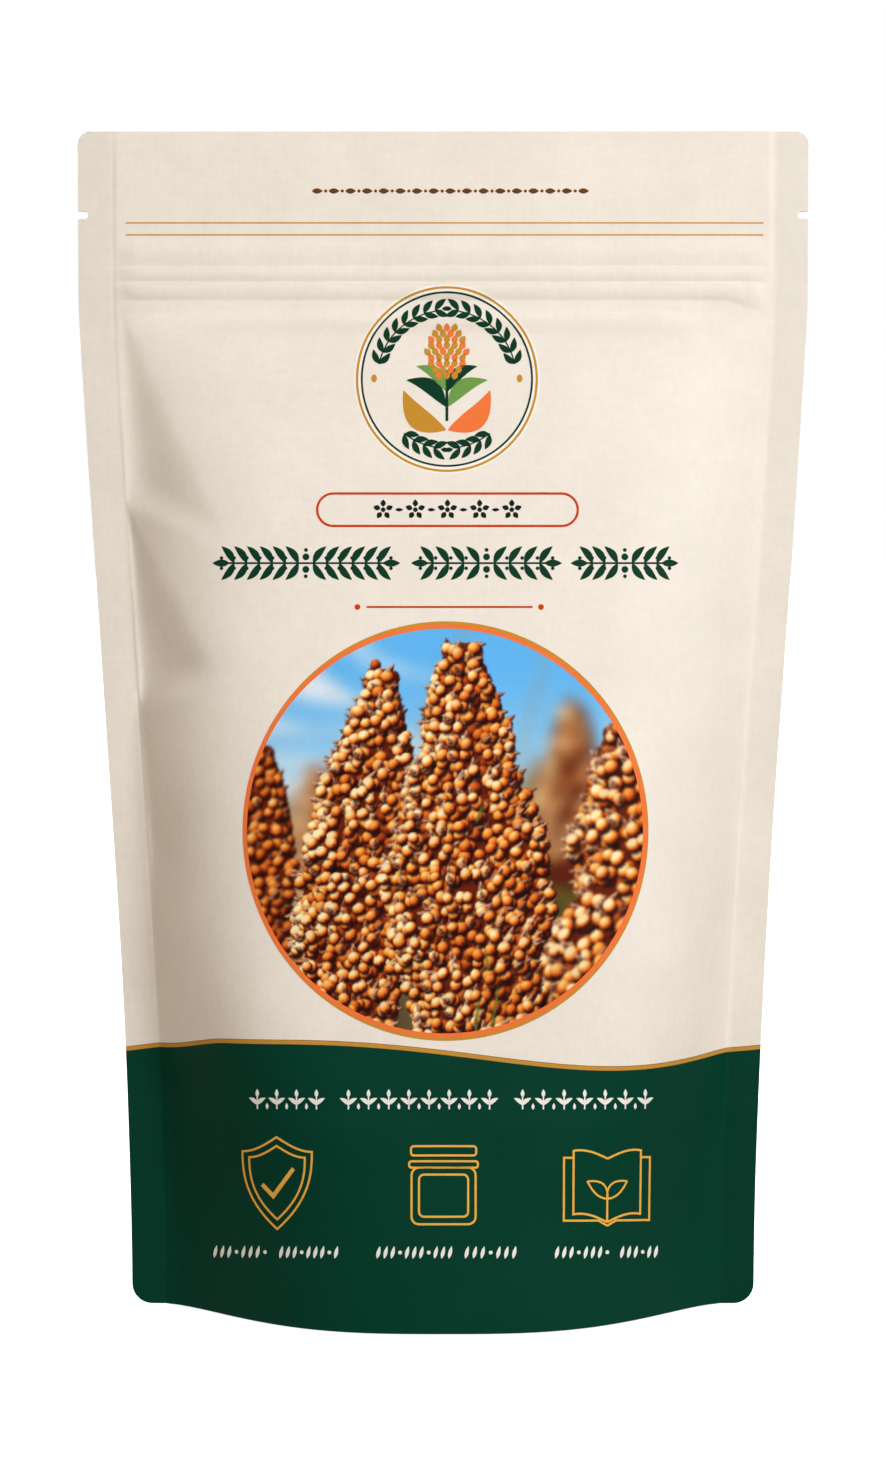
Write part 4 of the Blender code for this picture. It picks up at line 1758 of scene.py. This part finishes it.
    def stamp(
        self,
        canvas: Array,
        place: Place,
        half: Place,
        turn: float,
        tone: float,
        ramp: tuple[tuple[float, ...], ...],
        tint: Array | float = 1.0,
        under: float = 0.62,
    ) -> None:
        """Paints one grain over the canvas: an ellipse shaded as a ball under light from its upper left.

        The ball's normal at (u, v) in the ellipse is (u, v, sqrt(1 - u^2 - v^2)), and the cosine to
        the light picks a colour from the ramp.

        Args:
            canvas: the canvas, which is changed.
            place: the grain's middle, in millimetres from the picture's middle.
            half: its half length and half width.
            turn: its turn in radians.
            tone: how much light falls on it.
            ramp: the reds, the greens and the blues from shade to light.
            tint: a factor for each colour channel.
            under: how dark the shadow is that it throws below itself.
        """
        scale, origin = self.dots_per_mm, self.radius + self.margin
        reach = max(half) * 1.35
        low = [int(max((p - reach + origin) * scale, 0)) for p in place]
        high = [int(min((p + reach + origin) * scale + 1, canvas.shape[0])) for p in place]
        if low[0] >= high[0] or low[1] >= high[1]:
            return
        dx = (np.arange(low[0], high[0]) + 0.5)[None, :] / scale - origin - place[0]
        dz = (np.arange(low[1], high[1]) + 0.5)[:, None] / scale - origin - place[1]
        c, s = math.cos(turn), math.sin(turn)
        u, v = (c * dx + s * dz) / half[0], (-s * dx + c * dz) / half[1]
        size = np.sqrt(u * u + v * v)
        below = np.hypot(dx / half[1] - 0.10, dz / half[1] + 0.24)
        window = canvas[low[1] : high[1], low[0] : high[0]]
        window *= (1 - under * smoothstep((1.25 - below) / 0.35))[..., None]
        facing = np.sqrt(np.clip(1 - size * size, 0, 1))
        nx, nz = c * u - s * v, s * u + c * v
        right, up, near = self.to_sun
        light = np.clip(right * nx + up * nz + near * facing, 0, 1) * tone
        paint = np.stack([np.interp(light, self.seed_stops, channel) for channel in ramp], axis=-1) * tint
        cover = np.clip((1 - size) * min(half) * scale + 0.5, 0, 1)[..., None]
        window += (paint - window) * cover

    def husk(self, canvas: Array, place: Array, turn: float, length: float, tone: float) -> None:
        """Paints a husk: a brown pointed scale, as three ever narrower ellipses along its length.

        Args:
            canvas: the canvas, which is changed.
            place: the husk's root.
            turn: the way that it points, in radians.
            length: its length in millimetres.
            tone: how much light falls on it.
        """
        way = np.array([math.cos(turn), math.sin(turn)])
        for along, long, wide in ((0.0, 0.62, 0.42), (0.42, 0.52, 0.30), (0.80, 0.40, 0.15)):
            spot = place + way * along * length
            half = (long * length, wide * length)
            self.stamp(canvas, tuple(spot), half, turn, tone, self.husk_ramp, 1.0, 0.3)

    def paint_head(self, canvas: Array, head: SorghumHead, chance: np.random.Generator) -> None:
        """Paints a head: a dark core, loose grains deep in it, then close rows of grains by their depth.

        Rows lie along the head, and grains at even turns round it, half a step on in every other
        row. Lumps swell it, and between them the grains are in shade. The left is lit.

        Args:
            canvas: the canvas, which is changed.
            head: the head.
            chance: the source of random numbers.
        """
        tip, foot = np.array(head.tip), np.array(head.foot)
        length = float(np.linalg.norm(foot - tip))
        spine = (foot - tip) / length
        side = np.array([-spine[1], spine[0]])
        phase = chance.uniform(0, 6, 2)

        def lumps(share: Array, turn: Array) -> Array:
            """Works out how far the lumps swell the head: the mean of two crossing cosines.

            Args:
                share: shares of the way from the tip to the foot.
                turn: turns round the head in radians.

            Returns:
                The swelling, from -1 to 1.
            """
            first = np.cos(30.0 * share * length / 75 + 3.2 * turn + phase[0])
            second = np.cos(21.0 * share * length / 75 - 4.1 * turn + phase[1])
            return 0.5 * (first + second)

        for share in np.linspace(0.015, 1, 44):
            middle = tip + spine * share * length
            reach = float(head.half_width_at(np.array([share]))[0]) * 0.84
            steps = max(int(reach / head.grain), 1)
            for k in range(-steps, steps + 1):
                spot = tuple(middle + side * (reach * k / steps))
                self.stamp(canvas, spot, (head.grain * 1.3,) * 2, 0.0, 0.16, self.seed_ramp, 1.0, 0.0)
        pitch = head.grain * 1.80
        rows = []
        for number in range(int(length / (pitch * 0.86))):
            share = (number + 0.5) * pitch * 0.86 / length
            reach = float(head.half_width_at(np.array([share]))[0])
            count = max(int(math.pi * reach / pitch), 2)
            turns = (np.arange(count) + 0.5 * (number % 2)) / count * math.pi - math.pi / 2
            rows.append(np.stack([np.full(count, share), turns], axis=-1))
        front = np.concatenate(rows)
        front += chance.normal(0, 1, front.shape) * (0.22 * pitch / length, 0.10)
        deep = front[chance.permutation(len(front))[: len(front) * 2 // 3]]
        deep = deep + chance.normal(0, 1, deep.shape) * (0.6 * pitch / length, 0.2)
        grains = np.concatenate([deep, front])
        front_one = np.arange(len(grains)) >= len(deep)
        share, turn = grains[:, 0], np.clip(grains[:, 1], -1.6, 1.6)
        swelling = lumps(share, turn)
        size_there = head.half_width_at(share) * (1 + 0.12 * swelling) * np.where(front_one, 1, 0.9)
        place = tip + np.outer(share * length, spine) + np.outer(size_there * np.sin(turn), side)
        place += chance.normal(0, head.grain * 0.26, place.shape)
        depth = np.cos(turn) + 0.35 * swelling + chance.normal(0, 0.14, len(grains)) + 0.9 * front_one
        lit = 1.04 - 0.13 * np.sin(turn) * np.sign(side[0])
        hollow = np.clip(0.94 + 0.27 * swelling, 0.5, 1.12) * np.where(front_one, 1, 0.46)
        for k in np.argsort(depth):
            tone = head.light * lit[k] * hollow[k] * chance.uniform(0.84, 1.16)
            size = head.grain * chance.uniform(0.84, 1.06)
            half = (size * chance.uniform(1.0, 1.14), size * 0.94)
            warm = chance.uniform(-1, 1)
            tint = np.array([1.0 + 0.03 * warm, 1.0 + 0.07 * warm, 1.0 + 0.11 * warm])
            spin = chance.uniform(0, math.pi)
            outward = math.atan2(0.75, side[0] * math.sin(turn[k])) + chance.normal(0, 0.45)
            if chance.uniform() < self.husk_share:
                self.husk(canvas, place[k] + np.array([0, 0.5 * size]), outward, size * 1.5, 1.1 * tone)
            self.stamp(canvas, tuple(place[k]), half, spin, float(tone), self.seed_ramp, tint)
            if chance.uniform() < self.loose_husk_share:
                self.husk(canvas, place[k] - np.array([0, 0.4 * size]), outward, size * 1.2, 1.2 * tone)
            if chance.uniform() < self.eye_share:
                eye = tuple(place[k] + np.array([0.25, -0.25]) * size)
                self.stamp(canvas, eye, (size * 0.18, size * 0.14), spin, 0.2, self.seed_ramp, 1.0, 0.0)

    def canvas(self) -> Array:
        """Paints the picture, from the backdrop to the near heads and the green stalks between their grains.

        A stalk is a bell across a leaning line, eased in at its foot and out at its top.

        Returns:
            The canvas, of shape (rows, columns, 3), in sRGB from 0 to 1.
        """
        chance = np.random.default_rng(self.seed)
        canvas = self.backdrop()
        for heads, blur in ((self.far_heads, self.far_blur), (self.side_heads, self.side_blur)):
            for head in heads:
                self.paint_head(canvas, head, chance)
            canvas = self.softened(canvas, blur)
        for head in self.heads:
            self.paint_head(canvas, head, chance)
        x, z = self.places()
        for start, lean, low, high in self.stalks:
            shown = smoothstep((z - low) / 0.6) * smoothstep((high - z) / 2.0)
            stalk = np.exp(-(((x - start - (z - low) * lean) / 0.24) ** 2)) * shown
            canvas = canvas + (np.array(self.stalk_green) - canvas) * (0.9 * stalk)[..., None]
        return np.clip(self.softened(canvas, self.ink_spread), 0, 1)

    def build(self, name: str, material: bpy.types.Material) -> bpy.types.Object:
        """Lays the picture on the film, with a colour at each point of a fine disc.

        Args:
            name: the piece's name.
            material: the picture's finish.

        Returns:
            The piece.
        """
        flat = disc(self.centre, self.radius, self.radius, self.cells)
        lift, reach = self.artwork.under, self.radius + self.margin
        parts = MeshParts()
        parts.add_slab(self.artwork.points(flat, lift), self.artwork.points(flat, -lift), thin=10)
        mesh = parts.mesh(name)
        canvas = self.canvas()
        dots = (flat - self.centre + reach) * self.dots_per_mm
        column, row = np.clip(dots.astype(int), 0, canvas.shape[0] - 1).reshape(-1, 2).T
        srgb = canvas[row, column]
        bent = np.where(srgb <= 0.04045, srgb / 12.92, ((srgb + 0.055) / 1.055) ** 2.4)
        hidden = np.full((len(mesh.vertices) - len(bent), 3), 0.2)
        colours = np.concatenate([bent, hidden])
        colours = np.concatenate([colours, np.ones((len(colours), 1))], axis=1)
        layer = mesh.attributes.new(PICTURE_ATTRIBUTE, "FLOAT_COLOR", "POINT")
        layer.data.foreach_set("color", colours.astype(np.float32).ravel())
        x, z = self.centre
        add_flat_map(mesh, (x - reach, z - reach - self.margin), (x + reach, z + reach))
        return show(mesh, material)


@dataclass(frozen=True)
class FrontPrint:
    """Everything printed on the front besides the cream, the gold band and the green."""

    artwork: Artwork
    laminate: SoftTouchLaminate
    picture_centre: Place = (0.35, 86.95)
    rule_ends: Place = (-57.1, 57.7)
    rule_heights: tuple[float, float] = (193.8, 191.68)
    pill_low: Place = (-22.3, 139.8)
    pill_high: Place = (23.9, 145.5)
    pill_corner: float = 2.85
    divider_z: float = 125.65
    divider_ends: Place = (-13.5, 15.8)
    divider_dots: Place = (-15.1, 17.3)
    blossom_ends: Place = (-10.6, 12.2)
    blossom_z: float = 142.65
    petals: int = 5

    def rules(self, print_: Impression) -> None:
        """Draws the two hairlines above the zip.

        Args:
            print_: the ink's impression.
        """
        start, end = self.rule_ends
        for z in self.rule_heights:
            print_.line(np.array([[start, z], [end, z]]), 0.24)

    def pill(self, print_: Impression) -> None:
        """Draws the long round-ended outline and the divider under the garland.

        Args:
            print_: the ink's impression.
        """
        low, high = self.pill_low, self.pill_high
        corner, middle = self.pill_corner, (low[1] + high[1]) / 2
        left, right = low[0] + corner, high[0] - corner
        ends = [arc((right, middle), corner, -90, 90), arc((left, middle), corner, 90, 270)]
        print_.line(np.concatenate(ends), 0.42, closed=True)
        (start, end), z = self.divider_ends, self.divider_z
        print_.line(np.array([[start, z], [end, z]]), 0.35)
        for x in self.divider_dots:
            print_.area(disc((x, z), 0.5, 0.5, 6))

    def blossoms(self, print_: Impression) -> None:
        """Draws small flowers in the outline, each a dot with petals round it, and seeds between them.

        Args:
            print_: the ink's impression.
        """
        places, z = np.linspace(*self.blossom_ends, 5), self.blossom_z
        for x in places:
            print_.area(disc((x, z), 0.42, 0.42, 4))
            for turn in 90 + np.arange(self.petals) * 360 / self.petals:
                way = math.radians(turn)
                root = (x + 0.55 * math.cos(way), z + 0.55 * math.sin(way))
                print_.area(leaf(root, 1.25, 0.92, turn))
        for x in (places[:-1] + places[1:]) / 2:
            print_.area(leaf((x - 0.7, z), 1.4, 0.6, 0))

    def orange_ring(self, print_: Impression) -> None:
        """Draws the ring round the picture."""
        print_.line(circle(self.picture_centre, 35.25, 35.3), 0.78, closed=True)

    def gold_ring(self, print_: Impression) -> None:
        """Draws the ring that shows above and below the orange one."""
        x, z = self.picture_centre
        print_.line(circle((x + 0.15, z), 35.4, 35.9), 0.6, closed=True)

    def build(self) -> None:
        """Prints everything: a piece for each ink and height above the film, and the picture."""
        friezes, medallion, icons = Friezes(), Medallion(), Icons()
        upper_rows = (
            ("print_hairlines", Ink.GOLD, 0.03, (self.rules,)),
            ("print_seed_row", Ink.BROWN, 0.04, (friezes.caption,)),
            ("print_medallion_white_ring", Ink.GROUND, 0.03, (medallion.pale_ring,)),
            ("print_medallion_wreath", Ink.DEEP_GREEN, 0.06, (medallion.green,)),
            ("print_medallion_leaves", Ink.LEAF_GREEN, 0.06, (medallion.pale_green,)),
            ("print_medallion_gold", Ink.GOLD, 0.06, (medallion.gold,)),
            ("print_medallion_grains", Ink.ORANGE, 0.06, (medallion.orange,)),
            ("print_pill_outline", Ink.RUST, 0.04, (self.pill,)),
            ("print_blossoms", Ink.BLACK_GREEN, 0.04, (self.blossoms,)),
            ("print_garland", Ink.DEEP_GREEN, 0.04, (friezes.title,)),
        )
        lower_rows = (
            ("print_picture_ring", Ink.ORANGE, 0.06, (self.orange_ring,)),
            ("print_picture_gold_ring", Ink.GOLD, 0.045, (self.gold_ring,)),
            ("print_white_rows", Ink.WHITE, 0.04, (friezes.slogan, friezes.feet)),
            ("print_icons", Ink.PALE_GOLD, 0.04, (icons.shield, icons.jar, icons.book)),
        )
        materials = {ink: PrintInk(self.laminate, ink).material() for ink in Ink}
        self.print_all(upper_rows, materials)
        four_inks = PictureInk(self.laminate).material()
        FieldPicture(self.artwork, self.picture_centre).build("print_field_picture", four_inks)
        self.print_all(lower_rows, materials)

    def print_all(self, rows: tuple[tuple, ...], materials: dict[Ink, bpy.types.Material]) -> None:
        """Makes a piece for each row.

        Args:
            rows: the pieces' names, inks, heights above the film in millimetres, and drawings.
            materials: each ink's material.
        """
        for name, ink, lift, drawings in rows:
            print_ = Impression(name, self.artwork, lift)
            for draw in drawings:
                draw(print_)
            print_.show(materials[ink])


# ---- Studio


@dataclass(frozen=True)
class Studio:
    """A plain pale floor with no edge in sight, soft directional light and the camera."""

    distance: float = 0.69
    elevation: float = 2.5
    look_at_z: float = 0.10315
    seen_height: float = 0.2622
    lamp_distance: float = 0.82
    key_size: float = 0.34
    key_power: float = 4.8
    key_colour: str = "f2f7ff"
    rear_strength: float = 3.1
    rear_spread: float = 50.0
    floor_radius: float = 40.0
    floor_colour: str = "fafafa"
    floor_glow: float = 0.86
    floor_z: float = -0.0002
    horizon_colour: str = "ffffff"
    horizon_top: float = 0.20
    horizon_ease: float = 0.10
    bounce_colour: str = "ffd293"
    bounce: float = 0.22
    horizon: float = 1.0

    def camera(self) -> None:
        """Makes the camera: straight on, a little above the middle, with a long lens."""
        data = bpy.data.cameras.new("camera")
        data.sensor_width = 36.0
        data.lens = data.sensor_width * self.distance / self.seen_height
        data.clip_start, data.clip_end = 0.01, 200.0
        camera = bpy.data.objects.new("camera", data)
        tilt = math.radians(self.elevation)
        camera.location = (
            0.0,
            -self.distance * math.cos(tilt),
            self.look_at_z + self.distance * math.sin(tilt),
        )
        camera.rotation_euler = (math.pi / 2 - tilt, 0.0, 0.0)
        bpy.context.scene.collection.objects.link(camera)
        bpy.context.scene.camera = camera

    def floor(self) -> None:
        """Makes the floor, a wide disc of matt pale paint."""
        turn = np.linspace(0, 2 * math.pi, 96, endpoint=False)
        rings = np.array([0.05, 0.2, 0.6, 2.0, 6.0, 16.0, self.floor_radius])
        ring, angle = np.meshgrid(rings, turn, indexing="ij")
        level = np.full_like(ring, self.floor_z)
        points = np.stack([ring * np.cos(angle), ring * np.sin(angle), level], axis=-1)
        index = np.arange(ring.size).reshape(ring.shape)
        index = np.concatenate([index, index[:, :1]], axis=1)
        quads = np.stack([index[:-1, :-1], index[1:, :-1], index[1:, 1:], index[:-1, 1:]], axis=-1)
        mesh = bpy.data.meshes.new("floor")
        faces = [index[0, :-1].tolist(), *quads.reshape(-1, 4).tolist()]
        mesh.from_pydata(points.reshape(-1, 3).tolist(), [], faces)
        material = new_material("matt_white_floor_paint")
        shader = material.node_tree.nodes["Principled BSDF"]
        shader.inputs["Base Color"].default_value = linear(self.floor_colour)
        shader.inputs["Roughness"].default_value = 0.9
        shader.inputs["Specular IOR Level"].default_value = 0.1
        shader.inputs["Emission Color"].default_value = linear(self.floor_colour)
        shader.inputs["Emission Strength"].default_value = self.floor_glow
        mesh.materials.append(material)
        floor = bpy.data.objects.new("floor", mesh)
        bpy.context.scene.collection.objects.link(floor)
        floor.visible_diffuse = False
        floor.visible_glossy = False

    def hang(self, data: bpy.types.Light, azimuth: float, elevation: float) -> None:
        """Hangs a light on a sphere round the pouch's middle and aims it there.

        Args:
            data: the light.
            azimuth: degrees round from the front, towards the pouch's right.
            elevation: degrees above the pouch's middle.
        """
        turn, rise = math.radians(azimuth), math.radians(elevation)
        level = self.lamp_distance * math.cos(rise)
        height = self.look_at_z + self.lamp_distance * math.sin(rise)
        lamp = bpy.data.objects.new(data.name, data)
        lamp.location = (level * math.sin(turn), -level * math.cos(turn), height)
        lamp.rotation_euler = (math.radians(90 - elevation), 0.0, turn)
        bpy.context.scene.collection.objects.link(lamp)

    def lights(self) -> None:
        """Makes a softbox near the pouch, so that it falls off across it, and a broad light behind it."""
        key = bpy.data.lights.new("key", "AREA")
        key.shape, key.size, key.energy = "SQUARE", self.key_size, self.key_power
        key.color = linear(self.key_colour)[:3]
        self.hang(key, azimuth=29.5, elevation=22.0)
        rear = bpy.data.lights.new("rear", "SUN")
        rear.energy, rear.angle = self.rear_strength, math.radians(self.rear_spread)
        self.hang(rear, azimuth=205.0, elevation=58.0)

    def sky(self) -> None:
        """Makes the surroundings: a white band at the horizon, where they meet the floor, dim elsewhere."""
        world = bpy.data.worlds.new("studio")
        bpy.context.scene.world = world
        world.use_nodes = True
        tree = world.node_tree
        place = node(tree, "TexCoord", {}, {}).outputs["Generated"]
        height = node(tree, "SeparateXYZ", {}, {0: place}).outputs["Z"]
        size = node(tree, "Math", {"operation": "ABSOLUTE"}, {0: height})
        ends = {1: self.horizon_top, 2: self.horizon_top + self.horizon_ease}
        smooth = {"interpolation_type": "SMOOTHSTEP"}
        share = node(tree, "MapRange", smooth, {0: size.outputs[0], **ends})
        bounce = [self.bounce * channel for channel in linear(self.bounce_colour)[:3]]
        colours = {0: share.outputs[0], 6: linear(self.horizon_colour), 7: (*bounce, 1.0)}
        colour = node(tree, "Mix", {"data_type": "RGBA"}, colours)
        background = tree.nodes["Background"]
        background.inputs["Strength"].default_value = self.horizon
        tree.links.new(colour.outputs[2], background.inputs["Color"])

    def build(self) -> None:
        """Makes the floor, the lights, the surroundings and the camera."""
        self.camera()
        self.floor()
        self.sky()
        self.lights()
        view = bpy.context.scene.view_settings
        view.view_transform = "Standard"
        view.look = "None"


def main() -> None:
    """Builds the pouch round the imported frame."""
    logging.basicConfig(level=logging.INFO, format="%(name)s: %(message)s")
    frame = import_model()
    Studio().build()

    shape = PouchShape.from_frame()
    band = WaveBand()
    laminate = SoftTouchLaminate()
    printed = PrintedFilm(laminate).material()
    # A tuck is its apex, tip and foot, its depth, its two slopes' widths and the broad one's power.
    front_face = FilmFace(
        shape,
        Side.FRONT,
        tucks=(
            Tuck((-58.6, 182.0), (-35.5, 134.5), (-57.0, 143.0), 3.8, 14.0, 6.0, 0.6),
            Tuck((-57.4, 145.0), (-37.5, 112.5), (-55.2, 106.0), 3.6, 12.0, 6.0),
            Tuck((-55.6, 116.0), (-43.0, 80.0), (-53.0, 68.0), 2.0, 10.0, 12.0),
            Tuck((58.6, 179.0), (43.0, 150.0), (57.6, 150.0), 0.9, 10.0, 8.0),
            Tuck((57.2, 122.0), (49.0, 104.0), (55.4, 96.0), 0.6, 6.0, 7.0),
        ),
        waves=(
            RandomWaves(seed=11, shortest=26.0, longest=60.0, height=0.10),
            RandomWaves(seed=12, shortest=9.0, longest=22.0, height=0.05),
        ),
    )
    back_face = FilmFace(
        shape,
        Side.BACK,
        tucks=(
            Tuck((58.6, 180.0), (39.0, 143.0), (57.4, 150.0), 4.5, 9.0, 5.0),
            Tuck((-58.6, 179.0), (-43.0, 149.0), (-57.6, 154.0), 3.0, 8.0, 6.0),
            Tuck((56.8, 138.0), (43.0, 106.0), (54.8, 104.0), 4.0, 9.0, 8.0),
            Tuck((-57.0, 140.0), (-46.0, 112.0), (-55.2, 110.0), 2.5, 8.0, 8.0),
        ),
        waves=(
            RandomWaves(seed=21, shortest=26.0, longest=60.0, height=0.12),
            RandomWaves(seed=22, shortest=9.0, longest=22.0, height=0.035),
        ),
    )
    FilmWeb(front_face, band).build("front_film", "front_panel", printed)
    FilmWeb(back_face, band).build("back_film", "back_panel", printed)
    plastic = ZipPolyethylene().material()
    ZipStrip(front_face).build("zip_rib_half", "zip_rib_strip", plastic)
    ZipStrip(back_face).build("zip_groove_half", "zip_groove_strip", plastic)
    BottomGusset(shape).build(PrintInk(laminate, Ink.DEEP_GREEN).material())

    seeds = frame["nodes"]["seed_fill"].data.materials
    seeds.clear()
    seeds.append(SorghumGrain().material())
    FrontPrint(Artwork(front_face), laminate).build()


if __name__ == "__main__":
    main()
